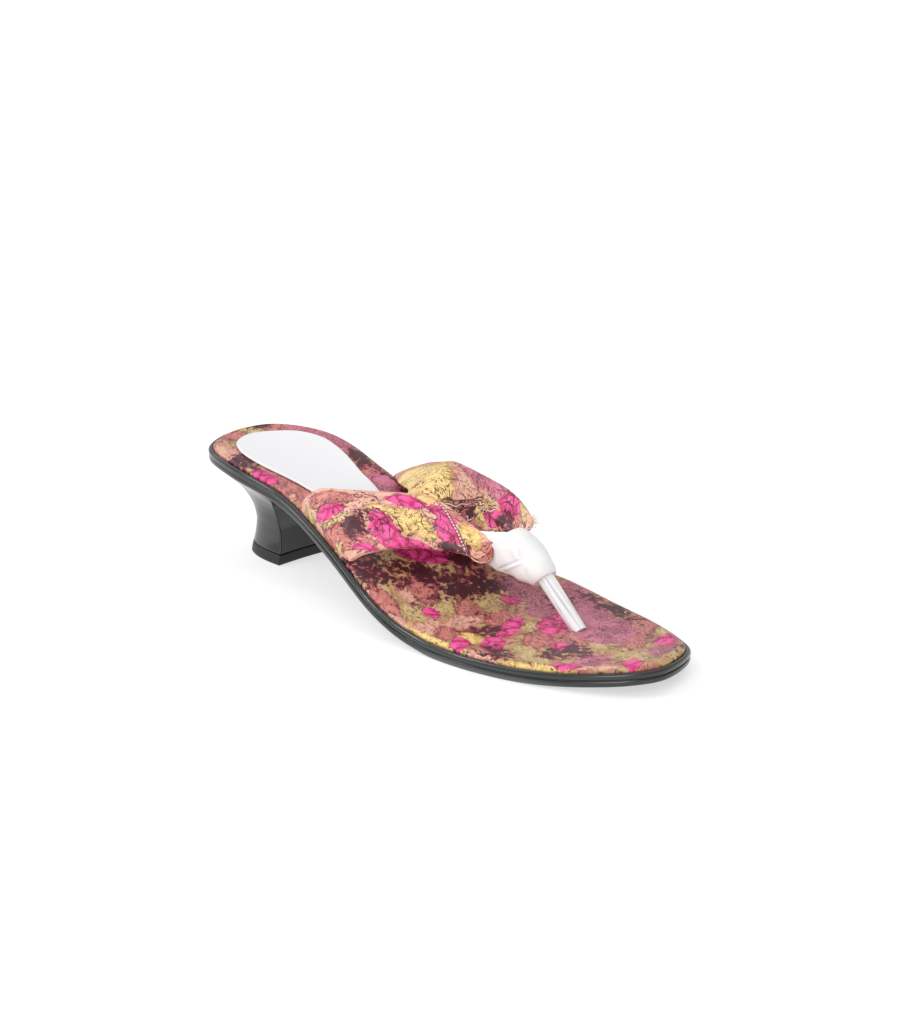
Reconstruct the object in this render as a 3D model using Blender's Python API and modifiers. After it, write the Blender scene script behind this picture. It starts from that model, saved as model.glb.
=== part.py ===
"""Heeled thong sandal, right foot, women's EU 37-38.

A moulded black sole unit with its own small heel carries a cloth-covered footbed. Two cloth bands rise
from under the footbed's edges, join in a V over the foot and pass through a satin wrap, which a clear
sleeve with a white core ties down between the toes. +X is the toe, +Y the inner (medial) side, +Z up.

Tables are in millimetres. Their stations are measured from the back of the heel.
"""

import math

import bmesh
import bpy
from mathutils import Vector

MM = 0.001
LENGTH = 250.0  # the footbed
GAP = 0.3  # between pieces that touch

# sole unit
RIM_WIDTH = 1.8  # the bead stands this far out of the footbed
BEAD_HEIGHT = 2.4
GROOVE_HEIGHT = 0.45
GROOVE_DEPTH = 0.8
GROOVE_FOOT = BEAD_HEIGHT + GROOVE_HEIGHT
TRAY_DEPTH = 1.2
# how far the lower wall stands out of the footbed, height above the underside
LOWER_WALL = ((0.9, 0.0), (1.5, 0.35), (1.65, 1.1))
# how far the wall stands out of the footbed, drop below the rim
UPPER_WALL = (
    (1.5, GROOVE_FOOT),
    (RIM_WIDTH - GROOVE_DEPTH, GROOVE_FOOT),
    (RIM_WIDTH - GROOVE_DEPTH, BEAD_HEIGHT),
    (1.5, BEAD_HEIGHT - 0.35),
    (RIM_WIDTH, BEAD_HEIGHT / 2),
    (1.45, 0.35),
    (0.8, 0.0),
    (0.0, 0.25),
    (0.0, TRAY_DEPTH),
)

# heel
TIP_HEIGHT = 4.2
HEEL_REACH = 56.0  # where the breast runs out into the shank
HEEL_SINK = 1.5  # how far the heel reaches into the sole before the two are joined
SEAT_OVERHANG = 1.3  # the heel's seat stands this far out of the footbed's outline
BREAST_FACES = 6
HEEL_FACES = 24  # round the back, from one front corner to the other

# footbed and heel pad
BED_RISE = 1.5  # rolled edge above the rim
BED_ROLL = 4.0  # width of the roll
HEEL_CUP = 1.6
FOREFOOT_HOLLOW = 0.5
# inset from the tray's wall, height above the rim
BED_EDGE = (
    (0.3, GAP - TRAY_DEPTH),
    (0.0, GAP - TRAY_DEPTH + 0.3),
    (0.0, BED_RISE - 1.2),
    (0.3, BED_RISE - 0.55),
    (1.0, BED_RISE - 0.12),
    (2.4, BED_RISE),
)
PAD_THICKNESS = 1.0
# inset from the pad's outline, height above its underside
PAD_EDGE = ((0.2, 0.0), (0.0, 0.3), (0.15, PAD_THICKNESS - 0.25), (0.6, PAD_THICKNESS))

# bands, wrap and post
BAND_WALL = 1.6
TUCK_DEPTH = 0.4  # the bands' feet below the rim
HEM_TURN = ((0.2, -2.6, -0.6), (0.0, -1.2, -0.9))  # the medial band's free edge, from its foot
PLEAT_STEP = 1.3
WRAP_CLEARANCE = 0.45  # round the bands where they enter the wrap
SLEEVE_TOP_RADIUS = 3.4
SLEEVE_FOOT_RADIUS = 2.9
CORE_TOP_RADIUS = 2.2
CORE_FOOT_RADIUS = 1.8
SLEEVE_WALL = 0.75

SIDE_STEPS = 48  # faces along each side of the footbed's outline
PAD_STEPS = 24
LATERAL_MESH = (30, 13)  # points along the band, points across it
MEDIAL_MESH = (34, 17)
SLOT_FACES = 16
WRAP_FACES = 24
POST_FACES = 32
CUT_PAST = 6.0  # how far a cutter runs past what it opens
TIP_CROWDING = 0.08  # how much closer they stand at the heel and the toe
ACROSS = 4  # faces across a slab

# station, half-width on the lateral side, on the medial side
OUTLINE = (
    (3.0, 12.7, 13.7),
    (12.5, 25.3, 21.5),
    (32.5, 30.5, 27.4),
    (65.0, 29.5, 24.0),
    (100.0, 35.5, 23.6),
    (132.5, 42.0, 33.6),
    (160.0, 42.1, 42.4),
    (185.0, 40.9, 38.7),
    (210.0, 35.1, 33.1),
    (230.0, 27.0, 23.6),
    (243.8, 18.2, 12.9),
)
HEEL_POINT = (0.0, 0.0)
TOE_POINT = (LENGTH, -8.0)

# station, height of the rim, height of the sole's underside
PROFILE = (
    (0.0, 48.2, 43.0),
    (25.0, 46.6, 41.4),
    (55.0, 41.3, 36.0),
    (85.0, 33.0, 27.6),
    (115.0, 22.0, 16.6),
    (145.0, 9.7, 4.5),
    (162.0, 6.1, 0.6),
    (172.0, 5.5, 0.0),
    (198.0, 5.2, 0.0),
    (210.0, 5.6, 0.35),
    (225.0, 6.8, 1.7),
    (250.0, 10.1, 5.2),
)

# rise from the top lift to the seat, back, breast, half-width, share of the seat's own outline
HEEL = (
    (0.00, 14.0, 42.9, 15.3, 0.00),
    (0.13, 15.0, 41.7, 13.9, 0.00),
    (0.27, 15.2, 40.4, 12.9, 0.00),
    (0.41, 14.3, 39.2, 12.9, 0.03),
    (0.54, 12.2, 38.5, 13.6, 0.10),
    (0.67, 9.5, 39.3, 15.0, 0.24),
    (0.79, 7.0, 41.8, 17.5, 0.46),
    (0.88, 5.4, 45.4, 20.2, 0.68),
    (0.95, 3.6, 50.0, 22.8, 0.86),
    (1.00, 2.0, 56.0, 25.0, 1.00),
)
# height, back, breast, half-width
HEEL_TIP = (
    (0.0, 13.6, 43.2, 16.2),
    (0.5, 13.2, 43.5, 16.6),
    (TIP_HEIGHT, 13.8, 42.9, 15.5),
)

# points from the back to the front of the heel pad, along each side
PAD_LATERAL = ((13.4, -11.2), (19.0, -17.4), (29.1, -21.9), (42.0, -22.6), (60.0, -19.6), (84.0, -15.2))
PAD_MEDIAL = ((13.6, 6.0), (20.0, 14.0), (32.1, 18.6), (46.0, 17.4), (64.5, 12.2), (85.0, 6.2))
PAD_BACK = (11.0, -3.0)
PAD_FRONT = (94.0, -6.0)

# Each row runs across the band, from its rear edge to its front edge, and its last point is the turned hem.
LATERAL_BASE = (78.0, 109.0)
LATERAL_SLOT = (77.4, 113.5)
LATERAL_BAND = (
    # rear                  upper                 lower                 front                 hem
    ((84.0, -33.2, 43.0), (93.0, -34.2, 38.6), (103.0, -36.8, 31.6), (113.0, -38.2, 25.6), (114.0, -37.4, 24.4)),
    ((90.0, -31.5, 47.4), (101.0, -33.0, 42.6), (111.0, -35.0, 35.0), (118.0, -35.0, 28.2), (118.4, -33.8, 27.0)),
    ((98.3, -25.0, 47.6), (107.5, -27.0, 44.0), (116.5, -29.2, 36.6), (122.3, -28.0, 29.3), (122.4, -26.6, 28.2)),
    ((107.0, -17.0, 47.0), (114.5, -19.5, 44.2), (122.5, -22.3, 37.0), (127.2, -22.0, 29.8), (127.0, -20.6, 28.6)),
    ((116.0, -9.5, 46.6), (121.8, -12.0, 44.0), (128.2, -15.0, 36.8), (131.2, -15.5, 28.8), (130.6, -13.8, 27.8)),
    ((124.0, -4.8, 45.9), (129.3, -6.8, 42.9), (134.8, -9.0, 35.4), (136.8, -9.5, 27.6), (135.8, -7.4, 26.6)),
    ((132.0, -1.8, 43.4), (137.0, -2.8, 40.2), (142.2, -4.2, 33.8), (143.6, -4.6, 27.0), (141.8, -1.8, 25.2)),
    ((140.8, 0.2, 38.8), (145.2, -0.2, 37.2), (149.8, -1.2, 31.9), (149.8, -2.2, 25.6), (146.6, 1.6, 24.4)),
    ((146.4, 1.4, 35.4), (150.6, 1.0, 34.9), (155.4, 0.1, 31.2), (153.8, -0.6, 27.2), (150.2, 2.0, 26.8)),
)

# Each row runs across the band, from its foot on the medial side over the crest to its inner edge. The feet
# up to the base's end go down into the tray, and the ones after it are the band's free lower edge.
MEDIAL_BASE = (71.0, 115.0)
MEDIAL_SLOT = (71.8, 119.5)
MEDIAL_BAND = (
    # foot                  flank                crest                 face                  inner edge
    ((73.0, 23.3, 37.5), (73.8, 23.3, 38.1), (74.6, 22.8, 38.8), (75.8, 22.0, 39.2), (77.0, 20.8, 39.2)),
    ((80.0, 23.8, 36.6), (80.8, 24.4, 38.6), (82.0, 23.9, 42.3), (84.0, 19.5, 43.0), (85.8, 13.8, 40.5)),
    ((90.0, 24.0, 33.8), (91.5, 25.3, 40.0), (93.0, 23.4, 46.9), (96.0, 16.0, 47.0), (97.0, 6.6, 42.4)),
    ((100.0, 24.8, 30.6), (101.5, 26.8, 39.5), (103.0, 23.0, 50.2), (107.0, 12.5, 49.6), (108.4, -0.4, 44.6)),
    ((109.0, 26.9, 27.8), (110.0, 28.2, 39.0), (111.5, 22.6, 52.0), (116.5, 10.5, 50.8), (119.3, -10.4, 44.9)),
    ((115.6, 29.4, 25.2), (118.0, 31.0, 37.5), (119.2, 24.6, 50.2), (124.5, 13.0, 48.2), (128.0, -5.6, 43.1)),
    ((123.0, 32.6, 27.4), (126.0, 32.6, 38.0), (127.2, 26.2, 47.6), (132.0, 18.0, 42.0), (133.6, 9.5, 32.0)),
    ((132.0, 32.8, 30.0), (134.6, 32.4, 38.6), (136.0, 26.6, 45.4), (139.4, 20.0, 39.2), (141.4, 13.4, 31.8)),
    ((141.5, 30.2, 31.6), (143.4, 29.6, 38.2), (144.4, 25.0, 43.4), (147.4, 19.2, 38.6), (149.2, 13.6, 33.4)),
    ((150.5, 25.6, 33.2), (151.4, 25.4, 37.6), (152.0, 22.4, 41.2), (154.8, 17.6, 38.2), (156.4, 12.4, 34.6)),
    ((157.0, 21.0, 34.4), (157.8, 21.2, 36.8), (158.4, 19.6, 39.4), (160.6, 16.4, 38.4), (162.4, 12.6, 36.4)),
)
# side distance, station of the front edge of the medial band's upper fold
PLEAT = ((-4.0, 122.0), (3.0, 125.5), (10.0, 131.0), (18.0, 133.0), (24.0, 120.0), (34.0, 112.0))

# The gathered middle of the bands inside the wrap: centre, radius.
GATHER = (
    ((143.5, 2.4, 32.6), 3.2),
    ((150.0, 5.6, 31.0), 4.2),
    ((156.0, 9.0, 31.4), 4.8),
    ((159.5, 12.4, 33.6), 4.2),
    ((158.0, 15.6, 36.2), 3.0),
)

# The wrap, from the post up and back to its mouth: centre, half-width, half-height, pitch in degrees.
WRAP = (
    ((178.6, 7.8, 20.0), 4.3, 4.3, 46.0),
    ((176.4, 7.8, 22.0), 5.0, 5.0, 46.0),
    ((172.6, 7.9, 24.0), 6.6, 7.0, 45.0),
    ((168.0, 8.2, 25.7), 7.8, 8.8, 45.0),
    ((161.8, 8.6, 27.3), 8.4, 10.2, 45.0),
    ((156.8, 9.1, 28.5), 8.3, 10.7, 45.0),
    ((152.8, 9.4, 29.4), 7.9, 10.3, 45.0),
)

WRAP_NEAR = 134.0  # the bands clear the wrap behind this station

POST_FOOT = (195.0, 6.8, 6.6)
POST_TOP = (177.8, 7.8, 21.2)
POST_IN_WRAP = 4.0
POST_IN_BED = 2.2


def place(x, y, z):
    """A point in metres, from a station, a side distance and a height in millimetres."""
    return Vector((x - LENGTH / 2, y, z)) * MM


def spline(points, count, before=None, after=None, crowding=0.0):
    """count points on a Catmull-Rom curve through the given ones, evenly spaced or crowded to its ends."""
    points = [Vector(p) for p in points]
    first = Vector(before) if before else points[0] * 2 - points[1]
    last = Vector(after) if after else points[-1] * 2 - points[-2]
    posts = [first] + points + [last]
    fine = []
    for i in range(1, len(posts) - 2):
        p0, p1, p2, p3 = posts[i - 1 : i + 3]
        t01 = (p1 - p0).length ** 0.5
        t12 = (p2 - p1).length ** 0.5
        t23 = (p3 - p2).length ** 0.5
        m1 = p2 - p1 + ((p1 - p0) / t01 - (p2 - p0) / (t01 + t12)) * t12
        m2 = p2 - p1 + ((p3 - p2) / t23 - (p3 - p1) / (t12 + t23)) * t12
        for k in range(16):
            u = k / 16
            fine.append(
                p1 * (2 * u**3 - 3 * u**2 + 1)
                + m1 * (u**3 - 2 * u**2 + u)
                + p2 * (3 * u**2 - 2 * u**3)
                + m2 * (u**3 - u**2)
            )
    fine.append(points[-1])
    return evenly(fine, count, crowding)


def evenly(points, count, crowding=0.0):
    """The polyline's points taken again at equal steps of length, or at steps that shorten to its ends."""
    along = [0.0]
    for a, b in zip(points, points[1:]):
        along.append(along[-1] + (b - a).length)
    found = []
    j = 0
    for k in range(count):
        turn = k / (count - 1)
        goal = along[-1] * (turn - crowding * math.sin(2 * math.pi * turn))
        while j < len(along) - 2 and along[j + 1] < goal:
            j += 1
        step = along[j + 1] - along[j]
        share = (goal - along[j]) / step if step else 0.0
        found.append(points[j].lerp(points[j + 1], min(max(share, 0.0), 1.0)))
    return found


def read(table, column, x):
    """A smooth value of a table's column at x, level past the first and last rows' slopes."""
    rows = [(row[0], row[column]) for row in table]
    x = min(max(x, rows[0][0]), rows[-1][0])
    slopes = []
    for i in range(len(rows)):
        a, b = rows[max(i - 1, 0)], rows[min(i + 1, len(rows) - 1)]
        slopes.append((b[1] - a[1]) / (b[0] - a[0]))
    i = 0
    while i < len(rows) - 2 and rows[i + 1][0] < x:
        i += 1
    (x0, y0), (x1, y1) = rows[i], rows[i + 1]
    step = x1 - x0
    u = (x - x0) / step
    if y0 == y1:
        return y0
    return (
        y0 * (2 * u**3 - 3 * u**2 + 1)
        + slopes[i] * step * (u**3 - 2 * u**2 + u)
        + y1 * (3 * u**2 - 2 * u**3)
        + slopes[i + 1] * step * (u**3 - u**2)
    )


def rim_height(x):
    return read(PROFILE, 1, x)


def under_height(x):
    return max(read(PROFILE, 2, x), 0.0)


def ease(x, start, end):
    """0 up to start, 1 past end, smooth between."""
    u = min(max((x - start) / (end - start), 0.0), 1.0)
    return u * u * (3 - 2 * u)


def closed_ring(back, lateral, front, medial, steps):
    """A closed outline: back point, lateral side, front point, medial side, with steps faces a side."""
    right = spline([back, *lateral, front], steps + 1, medial[0], medial[-1], TIP_CROWDING)
    left = spline([back, *medial, front], steps + 1, lateral[0], lateral[-1], TIP_CROWDING)
    return right + left[-2:0:-1]


def outward(ring):
    """The outward direction at each point of a ring that runs counter-clockwise seen from above."""
    found = []
    for i, point in enumerate(ring):
        along = ring[(i + 1) % len(ring)] - ring[i - 1]
        found.append(Vector((along.y, -along.x)).normalized())
    return found


def half_width(x, side):
    """The footbed's half-width at a station, on the lateral (-1) or medial (1) side."""
    ring = FOOT_RING if side < 0 else FOOT_RING[:1] + FOOT_RING[:0:-1]
    points = ring[: SIDE_STEPS + 1]
    for a, b in zip(points, points[1:]):
        if a.x <= x <= b.x:
            return abs(a.y + (b.y - a.y) * (x - a.x) / max(b.x - a.x, 1e-6))
    return 0.0


def bed_height(x, y):
    """The footbed's top, cupped at the heel and a little hollow along the forefoot."""
    room = max(half_width(x, 1 if y > 0 else -1) - BED_ROLL, 1.0)
    share = min(abs(y) / room, 1.0)
    hollow = HEEL_CUP * (1 - ease(x, 55, 120)) + FOREFOOT_HOLLOW * ease(x, 120, 170)
    fade = ease(x, 2, 20) * (1 - ease(x, 225, 248))
    return rim_height(x) + BED_RISE - hollow * fade * (1 - share * share)


def new_mesh(name, verts, faces, collection):
    mesh = bpy.data.meshes.new(name)
    mesh.from_pydata(verts, [], faces)
    work = bmesh.new()
    work.from_mesh(mesh)
    bmesh.ops.remove_doubles(work, verts=work.verts, dist=1e-6)
    bmesh.ops.dissolve_degenerate(work, edges=work.edges, dist=1e-7)
    bmesh.ops.recalc_face_normals(work, faces=work.faces)
    work.to_mesh(mesh)
    work.free()
    obj = bpy.data.objects.new(name, mesh)
    collection.objects.link(obj)
    return obj


def slab(name, ring, layers, bottom, top, collection):
    """A closed plate on a ring. layers holds (offset, height) functions of a ring index, from the bottom up.

    bottom and top give the height inside the plate at a station and a side distance.
    """
    normals = outward(ring)
    count = len(ring)
    half = count // 2
    verts = []
    faces = []
    for offset, height in layers:
        for i, point in enumerate(ring):
            moved = point + normals[i] * offset(i)
            verts.append(place(moved.x, moved.y, height(i)))
    for layer in range(len(layers) - 1):
        for i in range(count):
            j = (i + 1) % count
            a, b = layer * count, (layer + 1) * count
            faces.append((a + i, a + j, b + j, b + i))
    for start, height, flip in ((0, bottom, True), ((len(layers) - 1) * count, top, False)):
        rows = []
        for i in range(1, half):
            a, b = verts[start + i], verts[start + count - i]
            row = [start + i]
            for k in range(1, ACROSS):
                point = a.lerp(b, k / ACROSS) / MM
                row.append(len(verts))
                x = point.x + LENGTH / 2
                verts.append(place(x, point.y, height(x, point.y)))
            rows.append(row + [start + count - i])
        cap = [(start, rows[0][k], rows[0][k + 1]) for k in range(ACROSS)]
        cap += [(start + half, rows[-1][k + 1], rows[-1][k]) for k in range(ACROSS)]
        for near, far in zip(rows, rows[1:]):
            cap += [(near[k], far[k], far[k + 1], near[k + 1]) for k in range(ACROSS)]
        faces += [face[::-1] for face in cap] if flip else cap
    return new_mesh(name, verts, faces, collection)


def stack(name, rings, collection):
    """A closed solid through rings of the same count, with a flat fan on each end."""
    count = len(rings[0])
    verts = [point for ring in rings for point in ring]
    faces = []
    for layer in range(len(rings) - 1):
        for i in range(count):
            j = (i + 1) % count
            a, b = layer * count, (layer + 1) * count
            faces.append((a + i, a + j, b + j, b + i))
    for start, ring in ((0, rings[0]), (len(verts) - count, rings[-1])):
        middle = len(verts)
        verts.append(sum(ring, Vector()) / count)
        faces += [(start + i, start + (i + 1) % count, middle) for i in range(count)]
    return new_mesh(name, verts, faces, collection)


def boolean(obj, other, operation, tangled=False):
    modifier = obj.modifiers.new(operation.lower(), "BOOLEAN")
    modifier.operation = operation
    modifier.solver = "EXACT"
    modifier.use_self = tangled
    modifier.object = other


def baked(obj, name, collection):
    """The object's evaluated mesh as a plain object, in place of the object."""
    graph = bpy.context.evaluated_depsgraph_get()
    mesh = bpy.data.meshes.new_from_object(obj.evaluated_get(graph))
    work = bmesh.new()
    work.from_mesh(mesh)
    bmesh.ops.remove_doubles(work, verts=work.verts, dist=1e-6)
    bmesh.ops.recalc_face_normals(work, faces=work.faces)
    work.to_mesh(mesh)
    work.free()
    bpy.data.objects.remove(obj)
    plain = bpy.data.objects.new(name, mesh)
    collection.objects.link(plain)
    return plain


def finish(obj, colour, roughness, slot):
    material = bpy.data.materials.new(slot)
    material.use_nodes = True
    shader = material.node_tree.nodes["Principled BSDF"]
    shader.inputs["Base Color"].default_value = (*colour, 1.0)
    shader.inputs["Roughness"].default_value = roughness
    shader.inputs["Metallic"].default_value = 0.0
    obj.data.materials.clear()
    obj.data.materials.append(material)


for old in list(bpy.data.objects):
    bpy.data.objects.remove(old)
parts = bpy.data.collections.new("heeled_sandal")
cutters = bpy.data.collections.new("cutters")
cutters.hide_render = True
for collection in (parts, cutters):
    bpy.context.scene.collection.children.link(collection)

FOOT_RING = closed_ring(
    HEEL_POINT,
    [(x, -lateral) for x, lateral, medial in OUTLINE],
    TOE_POINT,
    [(x, medial) for x, lateral, medial in OUTLINE],
    SIDE_STEPS,
)


# Sole unit: tray, bead, groove, lower wall and shank in one moulding, and the heel joined to it.
def from_rim(drop):
    """A height below the rim, at each point of the footbed's ring."""
    return lambda i: rim_height(FOOT_RING[i].x) - drop


def from_under(rise):
    """A height above the sole's underside, at each point of the footbed's ring."""
    return lambda i: under_height(FOOT_RING[i].x) + rise


def always(value):
    """The same value at every point."""
    return lambda i: value


sole_layers = [(always(out), from_under(rise)) for out, rise in LOWER_WALL]
sole_layers += [(always(out), from_rim(drop)) for out, drop in UPPER_WALL]
sole = slab(
    "sole_unit",
    FOOT_RING,
    sole_layers,
    lambda x, y: under_height(x),
    lambda x, y: rim_height(x) - TRAY_DEPTH,
    parts,
)


def heel_outline(back, breast, half, roundness=2.5):
    """A D seen from above, from the lateral front corner round the back to the medial one."""
    points = []
    for k in range(HEEL_FACES + 1):
        turn = math.pi * (k / HEEL_FACES - 0.5)
        reach = max(math.cos(turn), 0.0) ** (2 / roundness)
        spread = math.copysign(abs(math.sin(turn)) ** (2 / roundness), turn)
        points.append(Vector((breast - (breast - back) * reach, spread * half)))
    return evenly(points, HEEL_FACES + 1)


def heel_ring(points, height):
    """Closes a heel outline across the breast and gives each point its height."""
    breast = [points[-1].lerp(points[0], k / BREAST_FACES) for k in range(1, BREAST_FACES)]
    return [place(p.x, p.y, height(p.x)) for p in points + breast]


seat = [p + n * SEAT_OVERHANG for p, n in zip(FOOT_RING, outward(FOOT_RING))]
seat_side = [p for p in seat[SIDE_STEPS // 2 :: -1] if p.x < HEEL_REACH]
seat_far = [p for p in seat[: SIDE_STEPS + SIDE_STEPS // 2 : -1] if p.x < HEEL_REACH]
seat_corners = [
    Vector((HEEL_REACH, side * (half_width(HEEL_REACH, side) + SEAT_OVERHANG))) for side in (-1, 1)
]
seat_outline = evenly(
    seat_corners[:1] + seat_side + seat_far + seat_corners[1:], HEEL_FACES + 1
)


def heel_level(rise):
    floor = TIP_HEIGHT + GAP
    return lambda x: floor + rise * (under_height(x) + HEEL_SINK - floor)


heel_rings = []
for rise, back, breast, half, share in HEEL:
    mixed = [a.lerp(b, share) for a, b in zip(heel_outline(back, breast, half), seat_outline)]
    heel_rings.append(heel_ring(mixed, heel_level(rise)))
heel = stack("heel", heel_rings, cutters)
heel.display_type = "WIRE"
boolean(sole, heel, "UNION")
finish(sole, (0.012, 0.012, 0.013), 0.35, "black_sole")

tip_rings = [
    heel_ring(heel_outline(back, breast, half), always(height)) for height, back, breast, half in HEEL_TIP
]
tip = stack("heel_tip", tip_rings, parts)
finish(tip, (0.010, 0.010, 0.010), 0.6, "black_tip")


# Footbed: a board with a thin pad, wrapped in printed cloth, let into the tray.
bed = slab(
    "footbed",
    FOOT_RING,
    [(always(-GAP - inset), from_rim(-rise)) for inset, rise in BED_EDGE],
    lambda x, y: rim_height(x) + GAP - TRAY_DEPTH,
    bed_height,
    parts,
)
finish(bed, (0.42, 0.20, 0.17), 0.45, "printed_satin")

pad_ring = closed_ring(PAD_BACK, PAD_LATERAL, PAD_FRONT, PAD_MEDIAL, PAD_STEPS)


def on_bed(rise):
    """A height above the heel pad's underside, at each point of its ring."""
    return lambda i: bed_height(*pad_ring[i]) + GAP + rise


pad = slab(
    "heel_pad",
    pad_ring,
    [(always(-inset), on_bed(rise)) for inset, rise in PAD_EDGE],
    lambda x, y: bed_height(x, y) + GAP,
    lambda x, y: bed_height(x, y) + GAP + PAD_THICKNESS,
    parts,
)
finish(pad, (0.86, 0.86, 0.87), 0.5, "white_pad")


# Bands: each is a sheet through the rows of its table, carried down into the tray along its foot.
def tuck(x, side, rise):
    return Vector((x, side * (half_width(x, side) - GAP), rim_height(x) + rise))


def sheet_grid(rows, along, across):
    """A fine grid of points through a coarse one, smooth both ways."""
    fine_rows = [spline(row, across) for row in rows]
    columns = [spline([row[k] for row in fine_rows], along) for k in range(across)]
    return [[column[j] for column in columns] for j in range(along)]


def sheet(name, grid, wall, offset, collection):
    """An open sheet through a grid of points, given a wall inwards by a Solidify modifier."""
    wide = len(grid[0])
    faces = []
    for j in range(len(grid) - 1):
        for k in range(wide - 1):
            a = j * wide + k
            faces.append((a, a + 1, a + wide + 1, a + wide))
    mesh = bpy.data.meshes.new(name)
    mesh.from_pydata([place(*point) for row in grid for point in row], [], faces)
    obj = bpy.data.objects.new(name, mesh)
    collection.objects.link(obj)
    solid = obj.modifiers.new("wall", "SOLIDIFY")
    solid.thickness = wall * MM
    solid.offset = offset
    solid.use_even_offset = True
    solid.use_quality_normals = True
    return obj


def grown(grid, margin):
    """The grid with its border moved out, for a cutter that clears the sheet's edges."""
    wider = [[point.copy() for point in row] for row in grid]
    for row in wider:
        row[0] += (row[0] - row[1]).normalized() * margin
        row[-1] += (row[-1] - row[-2]).normalized() * margin
    for k in range(len(wider[0])):
        wider[0][k] += (wider[0][k] - wider[1][k]).normalized() * margin
        wider[-1][k] += (wider[-1][k] - wider[-2][k]).normalized() * margin
    return wider


def rod(name, points, margin, collection):
    """A round bar through (point, radius) pairs, larger by a margin all over, as a closed mesh."""
    middles = [Vector(point) for point, radius in points]
    middles[0] += (middles[0] - middles[1]).normalized() * margin
    middles[-1] += (middles[-1] - middles[-2]).normalized() * margin
    curve = bpy.data.curves.new(name, "CURVE")
    curve.dimensions = "3D"
    curve.bevel_depth = MM
    curve.bevel_resolution = 3
    curve.resolution_u = 4
    curve.use_fill_caps = True
    line = curve.splines.new("NURBS")
    line.points.add(len(points) - 1)
    line.use_endpoint_u = True
    line.order_u = 3
    for target, middle, (point, radius) in zip(line.points, middles, points):
        target.co = (*place(*middle), 1.0)
        target.radius = radius + margin
    obj = bpy.data.objects.new(name, curve)
    collection.objects.link(obj)
    return baked(obj, name, collection)


lateral_rows = []
for rise in (-TUCK_DEPTH, 0.6, 2.4):
    start, end = LATERAL_BASE
    lateral_rows.append([tuck(start + (end - start) * k / 4, -1, rise) for k in range(5)])
lateral_rows += LATERAL_BAND
lateral_grid = sheet_grid(lateral_rows, *LATERAL_MESH)

medial_rows = []
for row in MEDIAL_BAND:
    foot = Vector(row[0])
    if foot.x < MEDIAL_BASE[1] + 1:
        x = min(foot.x - 0.5, MEDIAL_BASE[1])
        low = TUCK_DEPTH * (ease(x, 104, 116) - 1)
        hem = [tuck(x, 1, low), tuck(x, 1, low + 0.8)]
    else:
        hem = [foot + Vector(turn) for turn in HEM_TURN]
    medial_rows.append(hem + list(row))
medial_grid = sheet_grid(medial_rows, *MEDIAL_MESH)
for row in medial_grid:
    for point in row:
        behind_fold = 1 - ease(point.x - read(PLEAT, 1, point.y), -1.2, 1.2)
        on_top = ease(point.x, 100, 116) * ease(point.z, 36, 42)
        point.z += PLEAT_STEP * behind_fold * on_top

straps = sheet("upper_straps", medial_grid, BAND_WALL, -1.0, parts)
lateral_band = sheet("lateral_band", lateral_grid, BAND_WALL, -1.0, cutters)
gather = rod("gather", GATHER, 0.0, cutters)
for joined in (lateral_band, gather):
    joined.display_type = "WIRE"
    boolean(straps, joined, "UNION")
finish(straps, (0.62, 0.22, 0.27), 0.4, "printed_satin_bands")


# Satin wrap: a funnel of folded ribbon round the gathered bands, down to the top of the post.
def wrap_ring(middle, half_wide, half_high, pitch):
    lean = math.radians(pitch)
    up = Vector((math.sin(lean), 0, math.cos(lean)))
    ring = []
    for k in range(WRAP_FACES):
        turn = 2 * math.pi * k / WRAP_FACES
        side = Vector((0, math.cos(turn), 0)) * half_wide
        ring.append(Vector(middle) + side + up * math.sin(turn) * half_high)
    return [place(*point) for point in ring]


wrap = stack("knot_wrap", [wrap_ring(*row) for row in WRAP], parts)
clear = BAND_WALL + 2 * WRAP_CLEARANCE
shift = -(BAND_WALL / clear)
clearance = rod("wrap_clearance", GATHER, WRAP_CLEARANCE, cutters)
for name, grid in (("clear_of_lateral", lateral_grid), ("clear_of_medial", medial_grid)):
    near_wrap = [row for row in grid if row[0].x > WRAP_NEAR]
    side = sheet(name, grown(near_wrap, WRAP_CLEARANCE), clear, shift, cutters)
    side.display_type = "WIRE"
    boolean(clearance, side, "UNION", tangled=True)

# Post: a clear sleeve over a white core, from the tray up into the wrap.
post_foot = place(*POST_FOOT)
post_top = place(*POST_TOP)
post_line = (post_top - post_foot).normalized()
post_start = post_foot - post_line * POST_IN_BED * MM
post_end = post_top + post_line * POST_IN_WRAP * MM


def post_piece(name, foot_radius, top_radius, start, end, collection):
    mesh = bpy.data.meshes.new(name)
    work = bmesh.new()
    bmesh.ops.create_cone(
        work,
        cap_ends=True,
        segments=POST_FACES,
        radius1=foot_radius * MM,
        radius2=top_radius * MM,
        depth=(end - start).length,
    )
    work.to_mesh(mesh)
    work.free()
    obj = bpy.data.objects.new(name, mesh)
    obj.location = (start + end) / 2
    obj.rotation_euler = (end - start).to_track_quat("Z", "Y").to_euler()
    collection.objects.link(obj)
    return obj


reach = post_line * MM
sleeve = post_piece(
    "toe_post_sleeve", SLEEVE_FOOT_RADIUS, SLEEVE_TOP_RADIUS, post_start, post_end, parts
)
bore = post_piece(
    "sleeve_bore",
    SLEEVE_FOOT_RADIUS - SLEEVE_WALL,
    SLEEVE_TOP_RADIUS - SLEEVE_WALL,
    post_start - reach,
    post_end + reach,
    cutters,
)
boolean(sleeve, bore, "DIFFERENCE")
finish(sleeve, (0.80, 0.82, 0.84), 0.08, "clear_sleeve")
core = post_piece("toe_post_core", CORE_FOOT_RADIUS, CORE_TOP_RADIUS, post_start, post_end, parts)
finish(core, (0.85, 0.85, 0.86), 0.5, "white_core")

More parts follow.
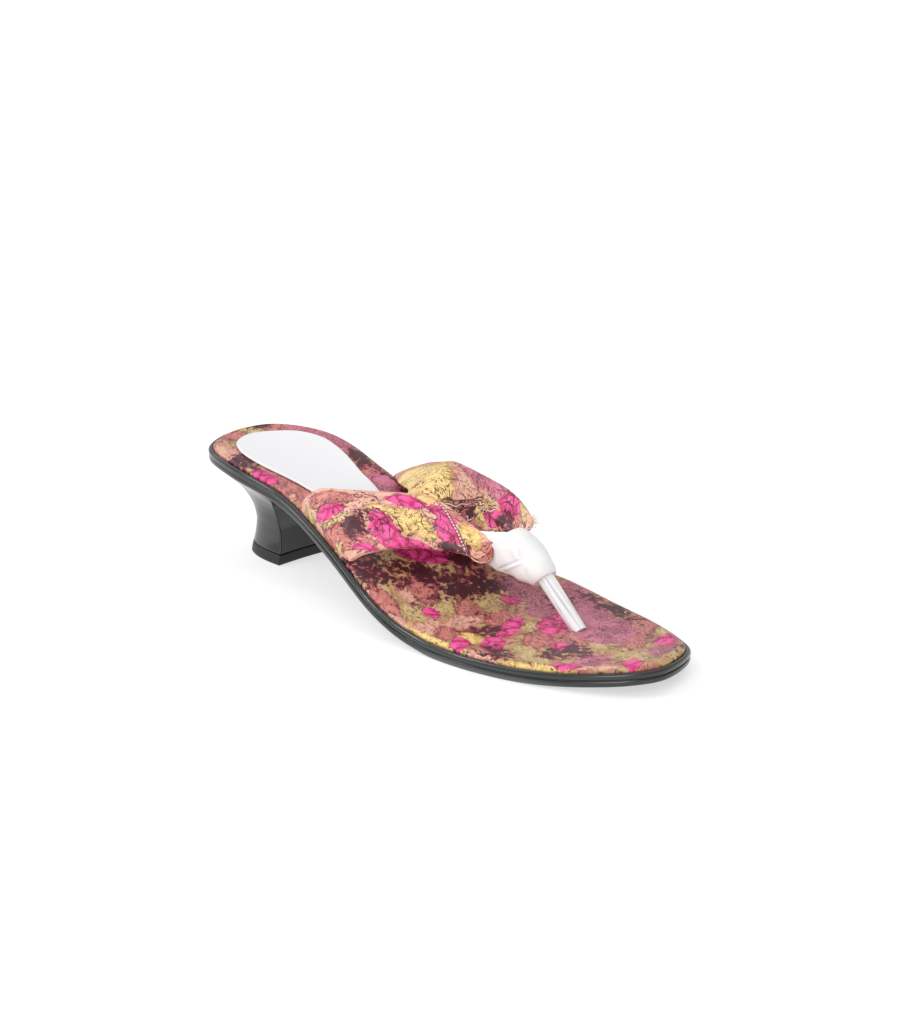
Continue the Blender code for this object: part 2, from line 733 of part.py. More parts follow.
socket = post_piece(
    "post_socket",
    SLEEVE_FOOT_RADIUS + GAP,
    SLEEVE_FOOT_RADIUS + GAP,
    post_start - reach * GAP,
    post_foot + reach * CUT_PAST,
    cutters,
)
for base in (bed, sole):
    boolean(base, socket, "DIFFERENCE")

# Slots in the footbed's edge, where the bands go down into the tray.
slot = BAND_WALL + 2 * GAP
for name, side, (start, end) in (("lateral_slot", -1, LATERAL_SLOT), ("medial_slot", 1, MEDIAL_SLOT)):
    stations = [start + (end - start) * k / SLOT_FACES for k in range(SLOT_FACES + 1)]
    rows = [[tuck(x, side, rise) for x in stations[::side * -1]] for rise in (-2.0, 3.0)]
    cutter = sheet(name, rows, slot, -BAND_WALL / slot, cutters)
    cutter.display_type = "WIRE"
    boolean(bed, cutter, "DIFFERENCE")
wrap_hole = post_piece(
    "wrap_hole",
    SLEEVE_TOP_RADIUS + GAP,
    SLEEVE_TOP_RADIUS + GAP,
    post_top - reach * 3,
    post_end + reach * GAP,
    cutters,
)
for cutter in (clearance, wrap_hole):
    boolean(wrap, cutter, "DIFFERENCE")
finish(wrap, (0.85, 0.85, 0.86), 0.45, "white_satin")
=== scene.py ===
"""The looks of a heeled thong sandal for the right foot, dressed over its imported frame."""

import math

import bmesh
import bpy
import numpy as np
from mathutils import Matrix, Vector


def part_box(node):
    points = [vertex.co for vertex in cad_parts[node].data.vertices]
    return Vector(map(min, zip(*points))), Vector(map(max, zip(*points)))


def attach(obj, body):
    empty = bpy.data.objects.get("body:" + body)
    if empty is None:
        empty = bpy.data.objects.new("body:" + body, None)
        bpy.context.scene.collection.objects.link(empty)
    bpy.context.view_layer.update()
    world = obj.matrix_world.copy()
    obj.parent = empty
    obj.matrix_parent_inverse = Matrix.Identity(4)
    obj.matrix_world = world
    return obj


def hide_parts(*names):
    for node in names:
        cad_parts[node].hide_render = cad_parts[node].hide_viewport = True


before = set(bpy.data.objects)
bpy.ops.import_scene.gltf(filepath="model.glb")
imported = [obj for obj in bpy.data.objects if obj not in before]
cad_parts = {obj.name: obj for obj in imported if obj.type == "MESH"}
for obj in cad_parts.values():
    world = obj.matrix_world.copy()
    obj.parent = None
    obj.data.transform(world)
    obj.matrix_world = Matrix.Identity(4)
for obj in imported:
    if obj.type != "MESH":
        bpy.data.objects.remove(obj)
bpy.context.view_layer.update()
MM = 0.001


# ---------------------------------------------------------------------------------------------------------
# Floor, light and camera. A white paper sweep, a wide softbox overhead, one in front, two strips at the side
# and a pale room. The camera is a long lens a little under a metre away, looking down on the toe from the
# outer side.


def add(tree, kind, settings=None, *values, **inputs):
    """Adds a node with its settings, and fills its live inputs with values or nodes, in order or by name."""
    node = tree.nodes.new(kind)
    for key, value in (settings or {}).items():
        setattr(node, key, value)
    live = [socket for socket in node.inputs if socket.enabled]
    named = {socket.name: socket for socket in reversed(live)}
    filled = [*zip(live, values), *((named[key.replace("_", " ")], value) for key, value in inputs.items())]
    for socket, value in filled:
        if isinstance(value, bpy.types.Node):
            value = next(output for output in value.outputs if output.enabled)
        if isinstance(value, bpy.types.NodeSocket):
            tree.links.new(value, socket)
        else:
            socket.default_value = value
    return node


def colour(code):
    """An sRGB hex colour as linear light, opaque."""
    parts = [int(code[i : i + 2], 16) / 255 for i in (1, 3, 5)]
    return (*(c / 12.92 if c <= 0.04045 else ((c + 0.055) / 1.055) ** 2.4 for c in parts), 1.0)


def new_material(name, **values):
    """A material, its node tree and its Principled shader, whose sockets take the values given by name."""
    material = bpy.data.materials.new(name)
    material.use_nodes = True
    shader = material.node_tree.nodes["Principled BSDF"]
    for key, value in values.items():
        shader.inputs[key.replace("_", " ")].default_value = value
    return material, material.node_tree, shader


def link_object(name, data):
    """An object at the origin, put in the scene."""
    obj = bpy.data.objects.new(name, data)
    bpy.context.scene.collection.objects.link(obj)
    return obj


def direction(azimuth, elevation):
    """The way from the shoe to a place around it, by its azimuth and elevation in degrees."""
    a, e = math.radians(azimuth), math.radians(elevation)
    return Vector((math.sin(a) * math.cos(e), -math.cos(a) * math.cos(e), math.sin(e)))


FLOOR_REACH = 9.0
GLOW_FROM = (0.12, 0.6)
GLOW_TO = (0.56, 0.8)
floor_mesh = bpy.data.meshes.new("paper_sweep")
corners = [(x * FLOOR_REACH, y * FLOOR_REACH, 0.0) for x, y in ((-1, -1), (1, -1), (1, 1), (-1, 1))]
floor_mesh.from_pydata(corners, [], [(0, 1, 2, 3)])
floor = link_object("paper_sweep", floor_mesh)
# White background paper, matt and glowing: its glow is turned down near the shoe as a painted shadow, and it
# burns out to plain white further off.
paper, tree, shader = new_material(
    "white_paper",
    Base_Color=colour("#BEBEBE"),
    Roughness=0.9,
    Specular_IOR_Level=0.0,
    Emission_Color=colour("#FFFFFF"),
)
place = add(tree, "ShaderNodeTexCoord").outputs["Object"]
away = add(tree, "ShaderNodeVectorMath", {"operation": "LENGTH"}, place)
# the paper glows less near the shoe: a painted shadow round it, on top of the real one
glow_with_painted_shadow = add(tree, "ShaderNodeMapRange", None, away, *GLOW_FROM, *GLOW_TO)
tree.links.new(glow_with_painted_shadow.outputs[0], shader.inputs["Emission Strength"])
floor_mesh.materials.append(paper)

LIGHT_DISTANCE = 1.5
# name, azimuth, elevation, width, height, watts
LIGHTS = (
    ("top_softbox", 150, 76, 0.9, 0.9, 2.6),
    ("front_softbox", 30, 26, 0.9, 0.9, 8.2),
    ("side_softbox", -80, 44, 0.22, 1.2, 4.0),
    ("low_strip", -34, 37, 0.14, 0.9, 4.2),
)
for name, azimuth, elevation, width, height, watts in LIGHTS:
    light = bpy.data.lights.new(name, "AREA")
    light.shape = "RECTANGLE"
    light.size = width
    light.size_y = height
    light.energy = watts
    lamp = link_object(name, light)
    lamp.location = direction(azimuth, elevation) * LIGHT_DISTANCE
    lamp.rotation_euler = lamp.location.to_track_quat("Z", "Y").to_euler()

ROOM_LIGHT = 0.72
# height on the dome, brightness
ROOM_TONES = ((0.0, 0.8), (0.5, 1.0))
world = bpy.data.worlds.new("pale_room")
world.use_nodes = True
sky = world.node_tree
background = sky.nodes["Background"]
background.inputs["Strength"].default_value = ROOM_LIGHT
spot = add(sky, "ShaderNodeTexCoord").outputs["Generated"]
height = add(sky, "ShaderNodeSeparateXYZ", None, spot).outputs["Z"]
ramp = add(sky, "ShaderNodeValToRGB", None, height)
for element, (position, grey) in zip(ramp.color_ramp.elements, ROOM_TONES):
    element.position = position
    element.color = (grey, grey, grey, 1.0)
sky.links.new(ramp.outputs["Color"], background.inputs["Color"])
bpy.context.scene.world = world
bpy.context.scene.view_settings.view_transform = "Standard"

AZIMUTH = 47.22
ELEVATION = 18.87
ROLL = math.radians(-0.84)
DISTANCE = 0.8482
AIM = Vector((0, 0, 0.020))
back = direction(AZIMUTH, ELEVATION)
level = Vector((math.cos(math.radians(AZIMUTH)), math.sin(math.radians(AZIMUTH)), 0))
rise = back.cross(level)
right = math.cos(ROLL) * level + math.sin(ROLL) * rise
up = math.cos(ROLL) * rise - math.sin(ROLL) * level
turned = Matrix((right, up, back)).transposed().to_4x4()
lens = bpy.data.cameras.new("camera")
lens.sensor_fit = "VERTICAL"
lens.sensor_height = 36
lens.lens = 74.72
lens.shift_x = 0.0121
lens.shift_y = 0.0432
lens.clip_start = 0.01
camera = link_object("camera", lens)
camera.matrix_world = Matrix.Translation(AIM + back * DISTANCE) @ turned
bpy.context.scene.camera = camera


# ---------------------------------------------------------------------------------------------------------
# Sole unit. One moulding of satin-gloss black PU: a shallow tray with a round bead on its rim, a thin groove
# and a plain lower wall, a shank that drops to the ball of the foot, and a small waisted heel in the same
# piece.

GAP = 0.3
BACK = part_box("footbed")[0].x / MM - GAP
# station from the back of the tray, half-width on the outer side, on the inner side
OUTLINE = (
    (3.0, 12.7, 13.7),
    (12.5, 25.3, 21.5),
    (32.5, 30.5, 27.4),
    (65.0, 29.5, 24.0),
    (100.0, 35.5, 23.6),
    (132.5, 42.0, 33.6),
    (160.0, 42.1, 42.4),
    (185.0, 40.9, 38.7),
    (210.0, 35.1, 33.1),
    (230.0, 27.0, 23.6),
    (243.8, 18.2, 12.9),
)
HEEL_POINT = (0.0, 0.0)
TOE_POINT = (250.0, -8.0)
# station, height of the rim, height of the underside
PROFILE = (
    (0.0, 48.2, 43.0),
    (25.0, 46.6, 41.4),
    (55.0, 41.3, 36.0),
    (85.0, 33.0, 27.6),
    (115.0, 22.0, 16.6),
    (145.0, 9.7, 4.5),
    (162.0, 6.1, 0.6),
    (172.0, 5.5, 0.0),
    (198.0, 5.2, 0.0),
    (210.0, 5.6, 0.35),
    (225.0, 6.8, 1.7),
    (250.0, 10.1, 5.2),
)
SIDE_STEPS = 150
END_CROWDING = 0.08
TRAY_DEPTH = 1.2
# how far out from the tray's edge, how high above the underside
LOWER_WALL = ((0.2, 0.0), (0.9, 0.0), (1.25, 0.12), (1.5, 0.4), (1.64, 0.9), (1.66, 1.3))
BEAD_HEIGHT = 2.4
BEAD_OUT = 1.8
BEAD_MIDDLE = 1.0
BEAD_TURN = 78
BEAD_STEPS = 13
GROOVE = 0.4
GROOVE_IN = 0.7
GROOVE_IN_HEEL = 0.12
GROOVE_GROWS = (60, 110)
FAR_RIM_DROP = 0.5
# how far out from the tray's edge, how far below the rim
INNER_WALL = ((0.35, 0.02), (0.05, 0.16), (0.0, 0.4), (0.0, TRAY_DEPTH))


def ease(x, start, end):
    """0 up to start, 1 past end, smooth between."""
    u = np.clip((np.asarray(x, float) - start) / (end - start), 0.0, 1.0)
    return u * u * (3 - 2 * u)


def bump(x, middle, reach):
    """1 at the middle, 0 at reach from it, smooth between."""
    return 1 - ease(np.abs(np.asarray(x, float) - middle), 0.0, reach)


def read(table, column, x):
    """A smooth value of a table's column at x, and level beyond its ends."""
    rows = np.array([(row[0], row[column]) for row in table], float)
    low, high = np.maximum(np.arange(len(rows)) - 1, 0), np.minimum(np.arange(len(rows)) + 1, len(rows) - 1)
    slopes = (rows[high, 1] - rows[low, 1]) / (rows[high, 0] - rows[low, 0])
    x = np.clip(np.asarray(x, float), rows[0, 0], rows[-1, 0])
    i = np.clip(np.searchsorted(rows[:, 0], x) - 1, 0, len(rows) - 2)
    step = rows[i + 1, 0] - rows[i, 0]
    u = (x - rows[i, 0]) / step
    y0, y1 = rows[i, 1], rows[i + 1, 1]
    value = (
        y0 * (2 * u**3 - 3 * u**2 + 1)
        + slopes[i] * step * (u**3 - 2 * u**2 + u)
        + y1 * (3 * u**2 - 2 * u**3)
        + slopes[i + 1] * step * (u**3 - u**2)
    )
    return np.where(y0 == y1, y0, value)


def evenly(points, count, crowding=0.0):
    """A polyline's points taken again at equal steps, or at steps that shorten to its ends."""
    points = np.asarray(points, float)
    along = np.concatenate([[0.0], np.cumsum(np.linalg.norm(np.diff(points, axis=0), axis=1))])
    turn = np.linspace(0, 1, count)
    goal = along[-1] * (turn - crowding * np.sin(2 * np.pi * turn))
    return np.stack([np.interp(goal, along, points[:, k]) for k in range(points.shape[1])], axis=1)


def spline(points, count, before=None, after=None, crowding=0.0):
    """count points on a centripetal Catmull-Rom curve through the given ones."""
    points = np.asarray(points, float)
    first = 2 * points[0] - points[1] if before is None else np.asarray(before, float)
    last = 2 * points[-1] - points[-2] if after is None else np.asarray(after, float)
    posts = np.vstack([first, points, last])
    u = np.linspace(0, 1, 16, endpoint=False)[:, None]
    fine = []
    for p0, p1, p2, p3 in zip(posts, posts[1:], posts[2:], posts[3:]):
        t01, t12, t23 = (max(np.linalg.norm(b - a), 1e-9) ** 0.5 for a, b in ((p0, p1), (p1, p2), (p2, p3)))
        m1 = p2 - p1 + ((p1 - p0) / t01 - (p2 - p0) / (t01 + t12)) * t12
        m2 = p2 - p1 + ((p3 - p2) / t23 - (p3 - p1) / (t12 + t23)) * t12
        fine.append(
            p1 * (2 * u**3 - 3 * u**2 + 1)
            + m1 * (u**3 - 2 * u**2 + u)
            + p2 * (3 * u**2 - 2 * u**3)
            + m2 * (u**3 - u**2)
        )
    return evenly(np.vstack(fine + [points[-1:]]), count, crowding)


def closed_ring(start, outer, end, inner, steps):
    """A closed outline seen from above: start, outer side, end, inner side."""
    near = spline([start, *outer, end], steps + 1, inner[0], inner[-1], END_CROWDING)
    far = spline([start, *inner, end], steps + 1, outer[0], outer[-1], END_CROWDING)
    return np.vstack([near, far[-2:0:-1]])


def outward(ring):
    """The unit normals of a closed outline seen from above."""
    along = np.roll(ring, -1, axis=0) - np.roll(ring, 1, axis=0)
    normal = np.stack([along[:, 1], -along[:, 0]], axis=1)
    return normal / np.linalg.norm(normal, axis=1)[:, None]


def in_metres(points):
    """Points given by station, side distance and height, in the frame's metres."""
    return (np.asarray(points, float) + (BACK, 0, 0)) * MM


def mesh_from(name, points, faces, sharp=40.0):
    """A mesh with merged doubles, outward faces and smooth shading up to a sharp angle."""
    mesh = bpy.data.meshes.new(name)
    mesh.from_pydata([tuple(p) for p in in_metres(points)], [], faces)
    work = bmesh.new()
    work.from_mesh(mesh)
    bmesh.ops.remove_doubles(work, verts=work.verts, dist=2e-6)
    bmesh.ops.recalc_face_normals(work, faces=work.faces)
    work.to_mesh(mesh)
    work.free()
    mesh.polygons.foreach_set("use_smooth", [True] * len(mesh.polygons))
    mesh.set_sharp_from_angle(angle=math.radians(sharp))
    return mesh


def slab(name, ring, layers, bottom, top, across, sharp=40.0):
    """A closed plate on a ring. Each layer, from the bottom up, is an offset and a height for its points."""
    normals = outward(ring)
    count = len(ring)
    half = count // 2
    points = []
    faces = []
    for offset, height in layers:
        moved = ring + normals * np.broadcast_to(offset, count)[:, None]
        points.append(np.column_stack([moved, np.broadcast_to(height, count)]))
    points = list(np.vstack(points))
    for layer in range(len(layers) - 1):
        a, b = layer * count, (layer + 1) * count
        faces += [(a + i, a + (i + 1) % count, b + (i + 1) % count, b + i) for i in range(count)]
    for start, height in ((0, bottom), ((len(layers) - 1) * count, top)):
        rows = []
        for i in range(1, half):
            a, b = points[start + i], points[start + count - i]
            share = 0.5 - 0.5 * np.cos(np.pi * np.arange(1, across) / across)
            inside = a + (b - a) * (0.5 * share + 0.5 * np.arange(1, across) / across)[:, None]
            inside[:, 2] = height(inside[:, 0], inside[:, 1])
            rows.append([start + i, *range(len(points), len(points) + across - 1), start + count - i])
            points += list(inside)
        faces += [(start, rows[0][k], rows[0][k + 1]) for k in range(across)]
        faces += [(start + half, rows[-1][k + 1], rows[-1][k]) for k in range(across)]
        for near, far in zip(rows, rows[1:]):
            faces += [(near[k], far[k], far[k + 1], near[k + 1]) for k in range(across)]
    return mesh_from(name, np.array(points), faces, sharp)


def stack(name, rings, sharp=40.0):
    """A closed solid through rings of the same count, with a flat fan on each end."""
    count = len(rings[0])
    points = np.vstack(rings + [rings[0].mean(axis=0)[None], rings[-1].mean(axis=0)[None]])
    faces = []
    for layer in range(len(rings) - 1):
        a, b = layer * count, (layer + 1) * count
        faces += [(a + i, a + (i + 1) % count, b + (i + 1) % count, b + i) for i in range(count)]
    for start, middle in ((0, len(points) - 2), (len(points) - 2 - count, len(points) - 1)):
        faces += [(start + i, start + (i + 1) % count, middle) for i in range(count)]
    return mesh_from(name, points, faces, sharp)


def applied(obj):
    """Bakes an object's modifiers into its mesh."""
    graph = bpy.context.evaluated_depsgraph_get()
    mesh = bpy.data.meshes.new_from_object(obj.evaluated_get(graph), depsgraph=graph)
    obj.modifiers.clear()
    obj.data = mesh
    return obj


FOOT_RING = closed_ring(
    HEEL_POINT,
    [(x, -outer) for x, outer, inner in OUTLINE],
    TOE_POINT,
    [(x, inner) for x, outer, inner in OUTLINE],
    SIDE_STEPS,
)
RING_X, RING_Y = FOOT_RING[:, 0], FOOT_RING[:, 1]
outer_x, outer_y = RING_X[: SIDE_STEPS + 1], -RING_Y[: SIDE_STEPS + 1]
inner_x = np.append(RING_X[0], RING_X[: SIDE_STEPS - 1 : -1])
inner_y = np.append(RING_Y[0], RING_Y[: SIDE_STEPS - 1 : -1])


def rim_height(x):
    """The height of the tray's rim at a station."""
    return read(PROFILE, 1, x)


def under_height(x):
    """The height of the sole's underside at a station."""
    return np.maximum(read(PROFILE, 2, x), 0.0)


def half_width(x, side):
    """The tray's half-width at a station, on the outer (-1) or the inner (1) side."""
    return np.interp(x, outer_x, outer_y) if side < 0 else np.interp(x, inner_x, inner_y)


ring_rim = rim_height(RING_X)
ring_under = under_height(RING_X)
bead_rim = ring_rim - FAR_RIM_DROP * ease(outward(FOOT_RING)[:, 1], 0.1, 0.7)
wall_top = bead_rim - BEAD_HEIGHT - GROOVE
in_groove = BEAD_OUT - (GROOVE_IN_HEEL + (GROOVE_IN - GROOVE_IN_HEEL) * ease(RING_X, *GROOVE_GROWS))
layers = [(out, ring_under + rise) for out, rise in LOWER_WALL]
layers += [(1.6, wall_top - 0.25), (1.45, wall_top), (in_groove, wall_top + 0.03)]
layers.append((in_groove, bead_rim - BEAD_HEIGHT - 0.03))
for turn in np.radians(np.linspace(-BEAD_TURN, BEAD_TURN, BEAD_STEPS)):
    out = BEAD_MIDDLE + (BEAD_OUT - BEAD_MIDDLE) * math.cos(turn)
    if turn < 0:
        out = np.maximum(out, in_groove)
    layers.append((out, bead_rim - BEAD_HEIGHT / 2 + BEAD_HEIGHT / 2 * math.sin(turn)))
layers += [(out, bead_rim - drop) for out, drop in INNER_WALL]
sole_mesh = slab(
    "sole_moulding",
    FOOT_RING,
    layers,
    bottom=lambda x, y: under_height(x),
    top=lambda x, y: rim_height(x) - TRAY_DEPTH,
    across=24,
)

TIP_HEIGHT = 4.2
HEEL_REACH = 56.0
HEEL_SINK = 2.0
HEEL_SQUARENESS = 0.8
HEEL_EDGE = 0.7
BREAST_HOLLOW = 0.7
SEAT_OVERHANG = 1.58
HEEL_FACES = 72
HEEL_LEVELS = 64
# rise from the top lift to the seat, back, breast, half-width, share of the seat's own outline
HEEL = (
    (0.00, 14.0, 42.9, 15.3, 0.00),
    (0.13, 15.0, 41.7, 13.9, 0.00),
    (0.27, 15.2, 40.4, 12.9, 0.00),
    (0.41, 14.3, 39.2, 12.9, 0.03),
    (0.54, 12.2, 38.5, 13.6, 0.10),
    (0.67, 9.5, 39.3, 15.0, 0.24),
    (0.79, 7.0, 41.8, 17.5, 0.46),
    (0.88, 5.4, 45.4, 20.2, 0.68),
    (0.95, 3.6, 50.0, 22.8, 0.86),
    (1.00, 2.0, 56.0, 25.0, 1.00),
)


def heel_outline(back, breast, half):
    """A D seen from above, from the outer front corner round the back to the inner one."""
    turn = np.linspace(-np.pi / 2, np.pi / 2, 4 * HEEL_FACES + 1)
    reach = np.maximum(np.cos(turn), 0.0) ** HEEL_SQUARENESS
    spread = np.sign(turn) * np.abs(np.sin(turn)) ** HEEL_SQUARENESS
    return evenly(np.column_stack([breast - (breast - back) * reach, spread * half]), HEEL_FACES + 1)


def heel_ring(points, height, faces=20):
    """Closes a heel outline across its hollow breast and gives each point its height."""
    share = np.arange(1, faces)[:, None] / faces
    breast = points[-1] + (points[0] - points[-1]) * share
    breast[:, 0] -= np.sin(np.pi * share[:, 0]) * BREAST_HOLLOW
    flat = np.vstack([points, breast])
    return np.column_stack([flat, height(flat[:, 0])])


seat = FOOT_RING + outward(FOOT_RING) * SEAT_OVERHANG
near_side = [p for p in seat[SIDE_STEPS // 2 :: -1] if p[0] < HEEL_REACH]
far_side = [p for p in seat[: SIDE_STEPS + SIDE_STEPS // 2 : -1] if p[0] < HEEL_REACH]
seat_corners = [(HEEL_REACH, side * (half_width(HEEL_REACH, side) + SEAT_OVERHANG)) for side in (-1, 1)]
seat_outline = evenly(seat_corners[:1] + near_side + far_side + seat_corners[1:], HEEL_FACES + 1)
foot = TIP_HEIGHT + GAP
heel_rings = []
for step in np.linspace(0, 1, HEEL_LEVELS):
    back_x, breast_x, half, share = (float(read(HEEL, column, step)) for column in (1, 2, 3, 4))
    plain = heel_outline(back_x, breast_x, half)
    between = plain + (seat_outline - plain) * share
    heel_rings.append(heel_ring(between, lambda x, s=step: foot + s * (under_height(x) + HEEL_SINK - foot)))
heel = link_object("heel_block", stack("heel_block", heel_rings, sharp=30.0))
edge = heel.modifiers.new("soft_corners", "BEVEL")
edge.width = HEEL_EDGE * MM
edge.segments = 3
edge.limit_method = "ANGLE"
edge.angle_limit = math.radians(45)
applied(heel)
heel.data.polygons.foreach_set("use_smooth", [True] * len(heel.data.polygons))
heel.data.set_sharp_from_angle(angle=math.radians(60))

FLOOR_REFLECTION_FROM = 0.2
FLOOR_REFLECTION_TO = 3.0
# Moulded PU: a soft black gloss straight from a polished mould. Its lowest 3 mm are painted greyer, a painted
# reflection of the white floor.
black, tree, shader = new_material("moulded_black_pu", Roughness=0.2, IOR=1.6)
place = add(tree, "ShaderNodeTexCoord").outputs["Object"]
height = add(tree, "ShaderNodeSeparateXYZ", None, place).outputs["Z"]
# grey at the bottom to black 3 mm up: the floor's reflection, painted into the colour
above_floor_reflection = add(tree, "ShaderNodeMapRange", None, height, FLOOR_REFLECTION_FROM * MM, FLOOR_REFLECTION_TO * MM)
tone = add(tree, "ShaderNodeMix", {"data_type": "RGBA"}, above_floor_reflection, colour("#54585A"), colour("#1D1F20"))
tree.links.new(tone.outputs[2], shader.inputs["Base Color"])
sole = link_object("sole_moulding", sole_mesh)
for piece in (sole, heel):
    piece.data.materials.append(black)
    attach(piece, "root")
    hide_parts("sole_unit")


# ---------------------------------------------------------------------------------------------------------
# Heel tip. A lift of hard black rubber under the heel, glued and nailed on, and flared a little past the
# heel's waist so that it takes the wear.

# height, back, breast, half-width
HEEL_TIP = ((0.0, 13.6, 43.2, 16.2), (0.5, 13.2, 43.5, 16.6), (4.2, 13.8, 42.9, 15.5))
TIP_LEVELS = (0.0, 0.15, 0.5, 1.5, 2.5, 3.4, 3.95, TIP_HEIGHT)
TIP_EDGE = 0.25
tip_rings = []
for height in TIP_LEVELS:
    back_x, breast_x, half = (float(read(HEEL_TIP, column, height)) for column in (1, 2, 3))
    trim = TIP_EDGE if height in (0.0, TIP_HEIGHT) else 0.0
    outline = heel_outline(back_x + trim, breast_x - trim, half - trim)
    tip_rings.append(heel_ring(outline, lambda x, h=height: np.full(np.shape(x), h)))
tip = link_object("heel_tip_lift", stack("heel_tip_lift", tip_rings, sharp=50.0))
# Hard rubber: black and matt beside the sole's gloss.
rubber, *_ = new_material("hard_black_rubber", Base_Color=colour("#151515"), Roughness=0.5)
tip.data.materials.append(rubber)
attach(tip, "root")
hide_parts("heel_tip")


# ---------------------------------------------------------------------------------------------------------
# Footbed. A board with thin foam, wrapped in printed polyester satin that is pulled round its edge and glued
# under it, so the edge is a soft roll that stands a little above the bead.

BED_RISE = 1.5
BED_ROLL = 4.0
ROLL_IN = 3.1
ROLL_FOOT = 0.1
ROLL_STEPS = 11
HEEL_CUP = 1.6
FOREFOOT_HOLLOW = 0.5
CUP_FADES = (55, 120)
HOLLOW_GROWS = (120, 170)
HEEL_END = (2, 20)
TOE_END = (225, 248)


def bed_height(x, y):
    """The footbed's top, cupped at the heel and a little hollow along the forefoot."""
    x, y = np.asarray(x, float), np.asarray(y, float)
    room = np.maximum(np.where(y > 0, half_width(x, 1), half_width(x, -1)) - BED_ROLL, 1.0)
    share = np.minimum(np.abs(y) / room, 1.0)
    hollow = HEEL_CUP * (1 - ease(x, *CUP_FADES)) + FOREFOOT_HOLLOW * ease(x, *HOLLOW_GROWS)
    fade = ease(x, *HEEL_END) * (1 - ease(x, *TOE_END))
    return rim_height(x) + BED_RISE - hollow * fade * (1 - share * share)


tray_floor = ring_rim - TRAY_DEPTH + GAP
layers = [(-0.5, tray_floor), (-GAP, tray_floor + 0.3), (-GAP, ring_rim + ROLL_FOOT)]
for k in range(1, ROLL_STEPS + 1):
    turn = math.radians(90 * k / ROLL_STEPS)
    inset = GAP + ROLL_IN * (1 - math.cos(turn))
    layers.append((-inset, ring_rim + ROLL_FOOT + (BED_RISE - ROLL_FOOT) * math.sin(turn)))
bed_mesh = slab(
    "footbed_cover",
    FOOT_RING,
    layers,
    bottom=lambda x, y: rim_height(x) + GAP - TRAY_DEPTH,
    top=bed_height,
    across=60,
)
bed = link_object("footbed_cover", bed_mesh)

MATHS, VECTORS, STEP, MIX = "ShaderNodeMath", "ShaderNodeVectorMath", "ShaderNodeMapRange", "ShaderNodeMix"
PLUS, MINUS, TIMES, PARTED = ({"operation": name} for name in ("ADD", "SUBTRACT", "MULTIPLY", "DIVIDE"))
MOST, ABSOLUTE, PINGPONG = ({"operation": name} for name in ("MAXIMUM", "ABSOLUTE", "PINGPONG"))
SMOOTH = {"interpolation_type": "SMOOTHSTEP"}
COLOURS = {"data_type": "RGBA"}
FULL_TURN = 6.283


def scattered(tree, where, cell, seed):
    """Random cells of a given size in mm: the place in its cell, turned at random, and a random number."""
    moved = add(tree, VECTORS, PLUS, where, (seed * 37.1, seed * 71.7, 0))
    cells = add(tree, "ShaderNodeTexVoronoi", {"voronoi_dimensions": "2D"}, Vector=moved, Scale=1 / cell)
    local = add(tree, VECTORS, MINUS, moved, cells.outputs["Position"])
    random = add(tree, "ShaderNodeSeparateColor", None, cells.outputs["Color"])
    angle = add(tree, MATHS, TIMES, random.outputs[0], FULL_TURN)
    turned = add(tree, "ShaderNodeVectorRotate", {"rotation_type": "Z_AXIS"}, Vector=local, Angle=angle)
    place = add(tree, "ShaderNodeSeparateXYZ", None, turned)
    return place.outputs[0], place.outputs[1], random.outputs[1]


def cloudy(tree, where, size, detail, roughness, seed):
    """Soft noise with features of a given size in mm."""
    moved = add(tree, VECTORS, PLUS, where, (seed * 53.3, seed * 29.9, seed * 11.3))
    return add(tree, "ShaderNodeTexNoise", Vector=moved, Scale=1 / size, Detail=detail, Roughness=roughness)


def wandering(tree, where, size, reach, detail, seed):
    """Places pushed about by noise, so that what is drawn there loses its straight edges."""
    push = cloudy(tree, where, size, detail, 0.6, seed).outputs["Color"]
    push = add(tree, VECTORS, MINUS, push, (0.5, 0.5, 0.5))
    return add(tree, VECTORS, {"operation": "MULTIPLY_ADD"}, push, (reach, reach, 0), where)


def distance_to_edge(tree, where, cell, seed):
    """How far a place is from the border of its random cell, in mm."""
    moved = add(tree, VECTORS, PLUS, where, (seed * 17.3, seed * 41.9, 0))
    kind = {"voronoi_dimensions": "2D", "feature": "DISTANCE_TO_EDGE"}
    cells = add(tree, "ShaderNodeTexVoronoi", kind, Vector=moved, Scale=1 / cell)
    return add(tree, MATHS, TIMES, cells.outputs["Distance"], cell)


INK = "#2E1B1C"
# size of the features in mm, how far they push the drawing, detail, seed
BENT = (9.0, 8.0, 2.0, 0)
RAGGED = (1.6, 2.0, 3.0, 3)
# size of the features in mm, detail, roughness, seed
CLOUDS = {
    "wash": (10.0, 2.0, 0.5, 1),
    "specks": (0.8, 3.0, 0.7, 2),
    "clusters": (13.0, 1.0, 0.5, 4),
    "blots": (2.4, 4.0, 0.7, 5),
    "curls": (6.0, 1.5, 0.5, 7),
    "breaks": (4.0, 2.0, 0.6, 8),
    "curl patches": (5.0, 2.0, 0.6, 9),
    "dash patches": (7.0, 1.0, 0.5, 10),
    "rags": (4.6, 5.0, 0.62, 11),
}
STROKE_SLANT = -0.6
STROKE_LENGTH = 7.0
PETAL = 6.5
DASH_CELL = 2.6
FORM_REACH = 1.35
PIPING_SLIMNESS = 2.2
# what a table of the print can ask for, the ink last because it is drawn over the rest
PRINT_PARTS = ("Burgundy", "Mauve", "Gold", "Magenta", "Rose", "Pale", "Khaki", "Ink")
# place in the wash, colour
WASHES = (
    (0.30, "#8A4A4A"), (0.39, "#AE7166"), (0.45, "#B7956A"),
    (0.54, "#BDA273"), (0.59, "#A8825C"), (0.66, "#BC7A72"),
)
# size in mm, seed, share of the cells that have one, dark tone, light tone
LEAVES = ((15.0, 1, 0.6, "#8C4348", "#CF9084"), (9.0, 2, 0.5, "#6B4A3C", "#B09468"))
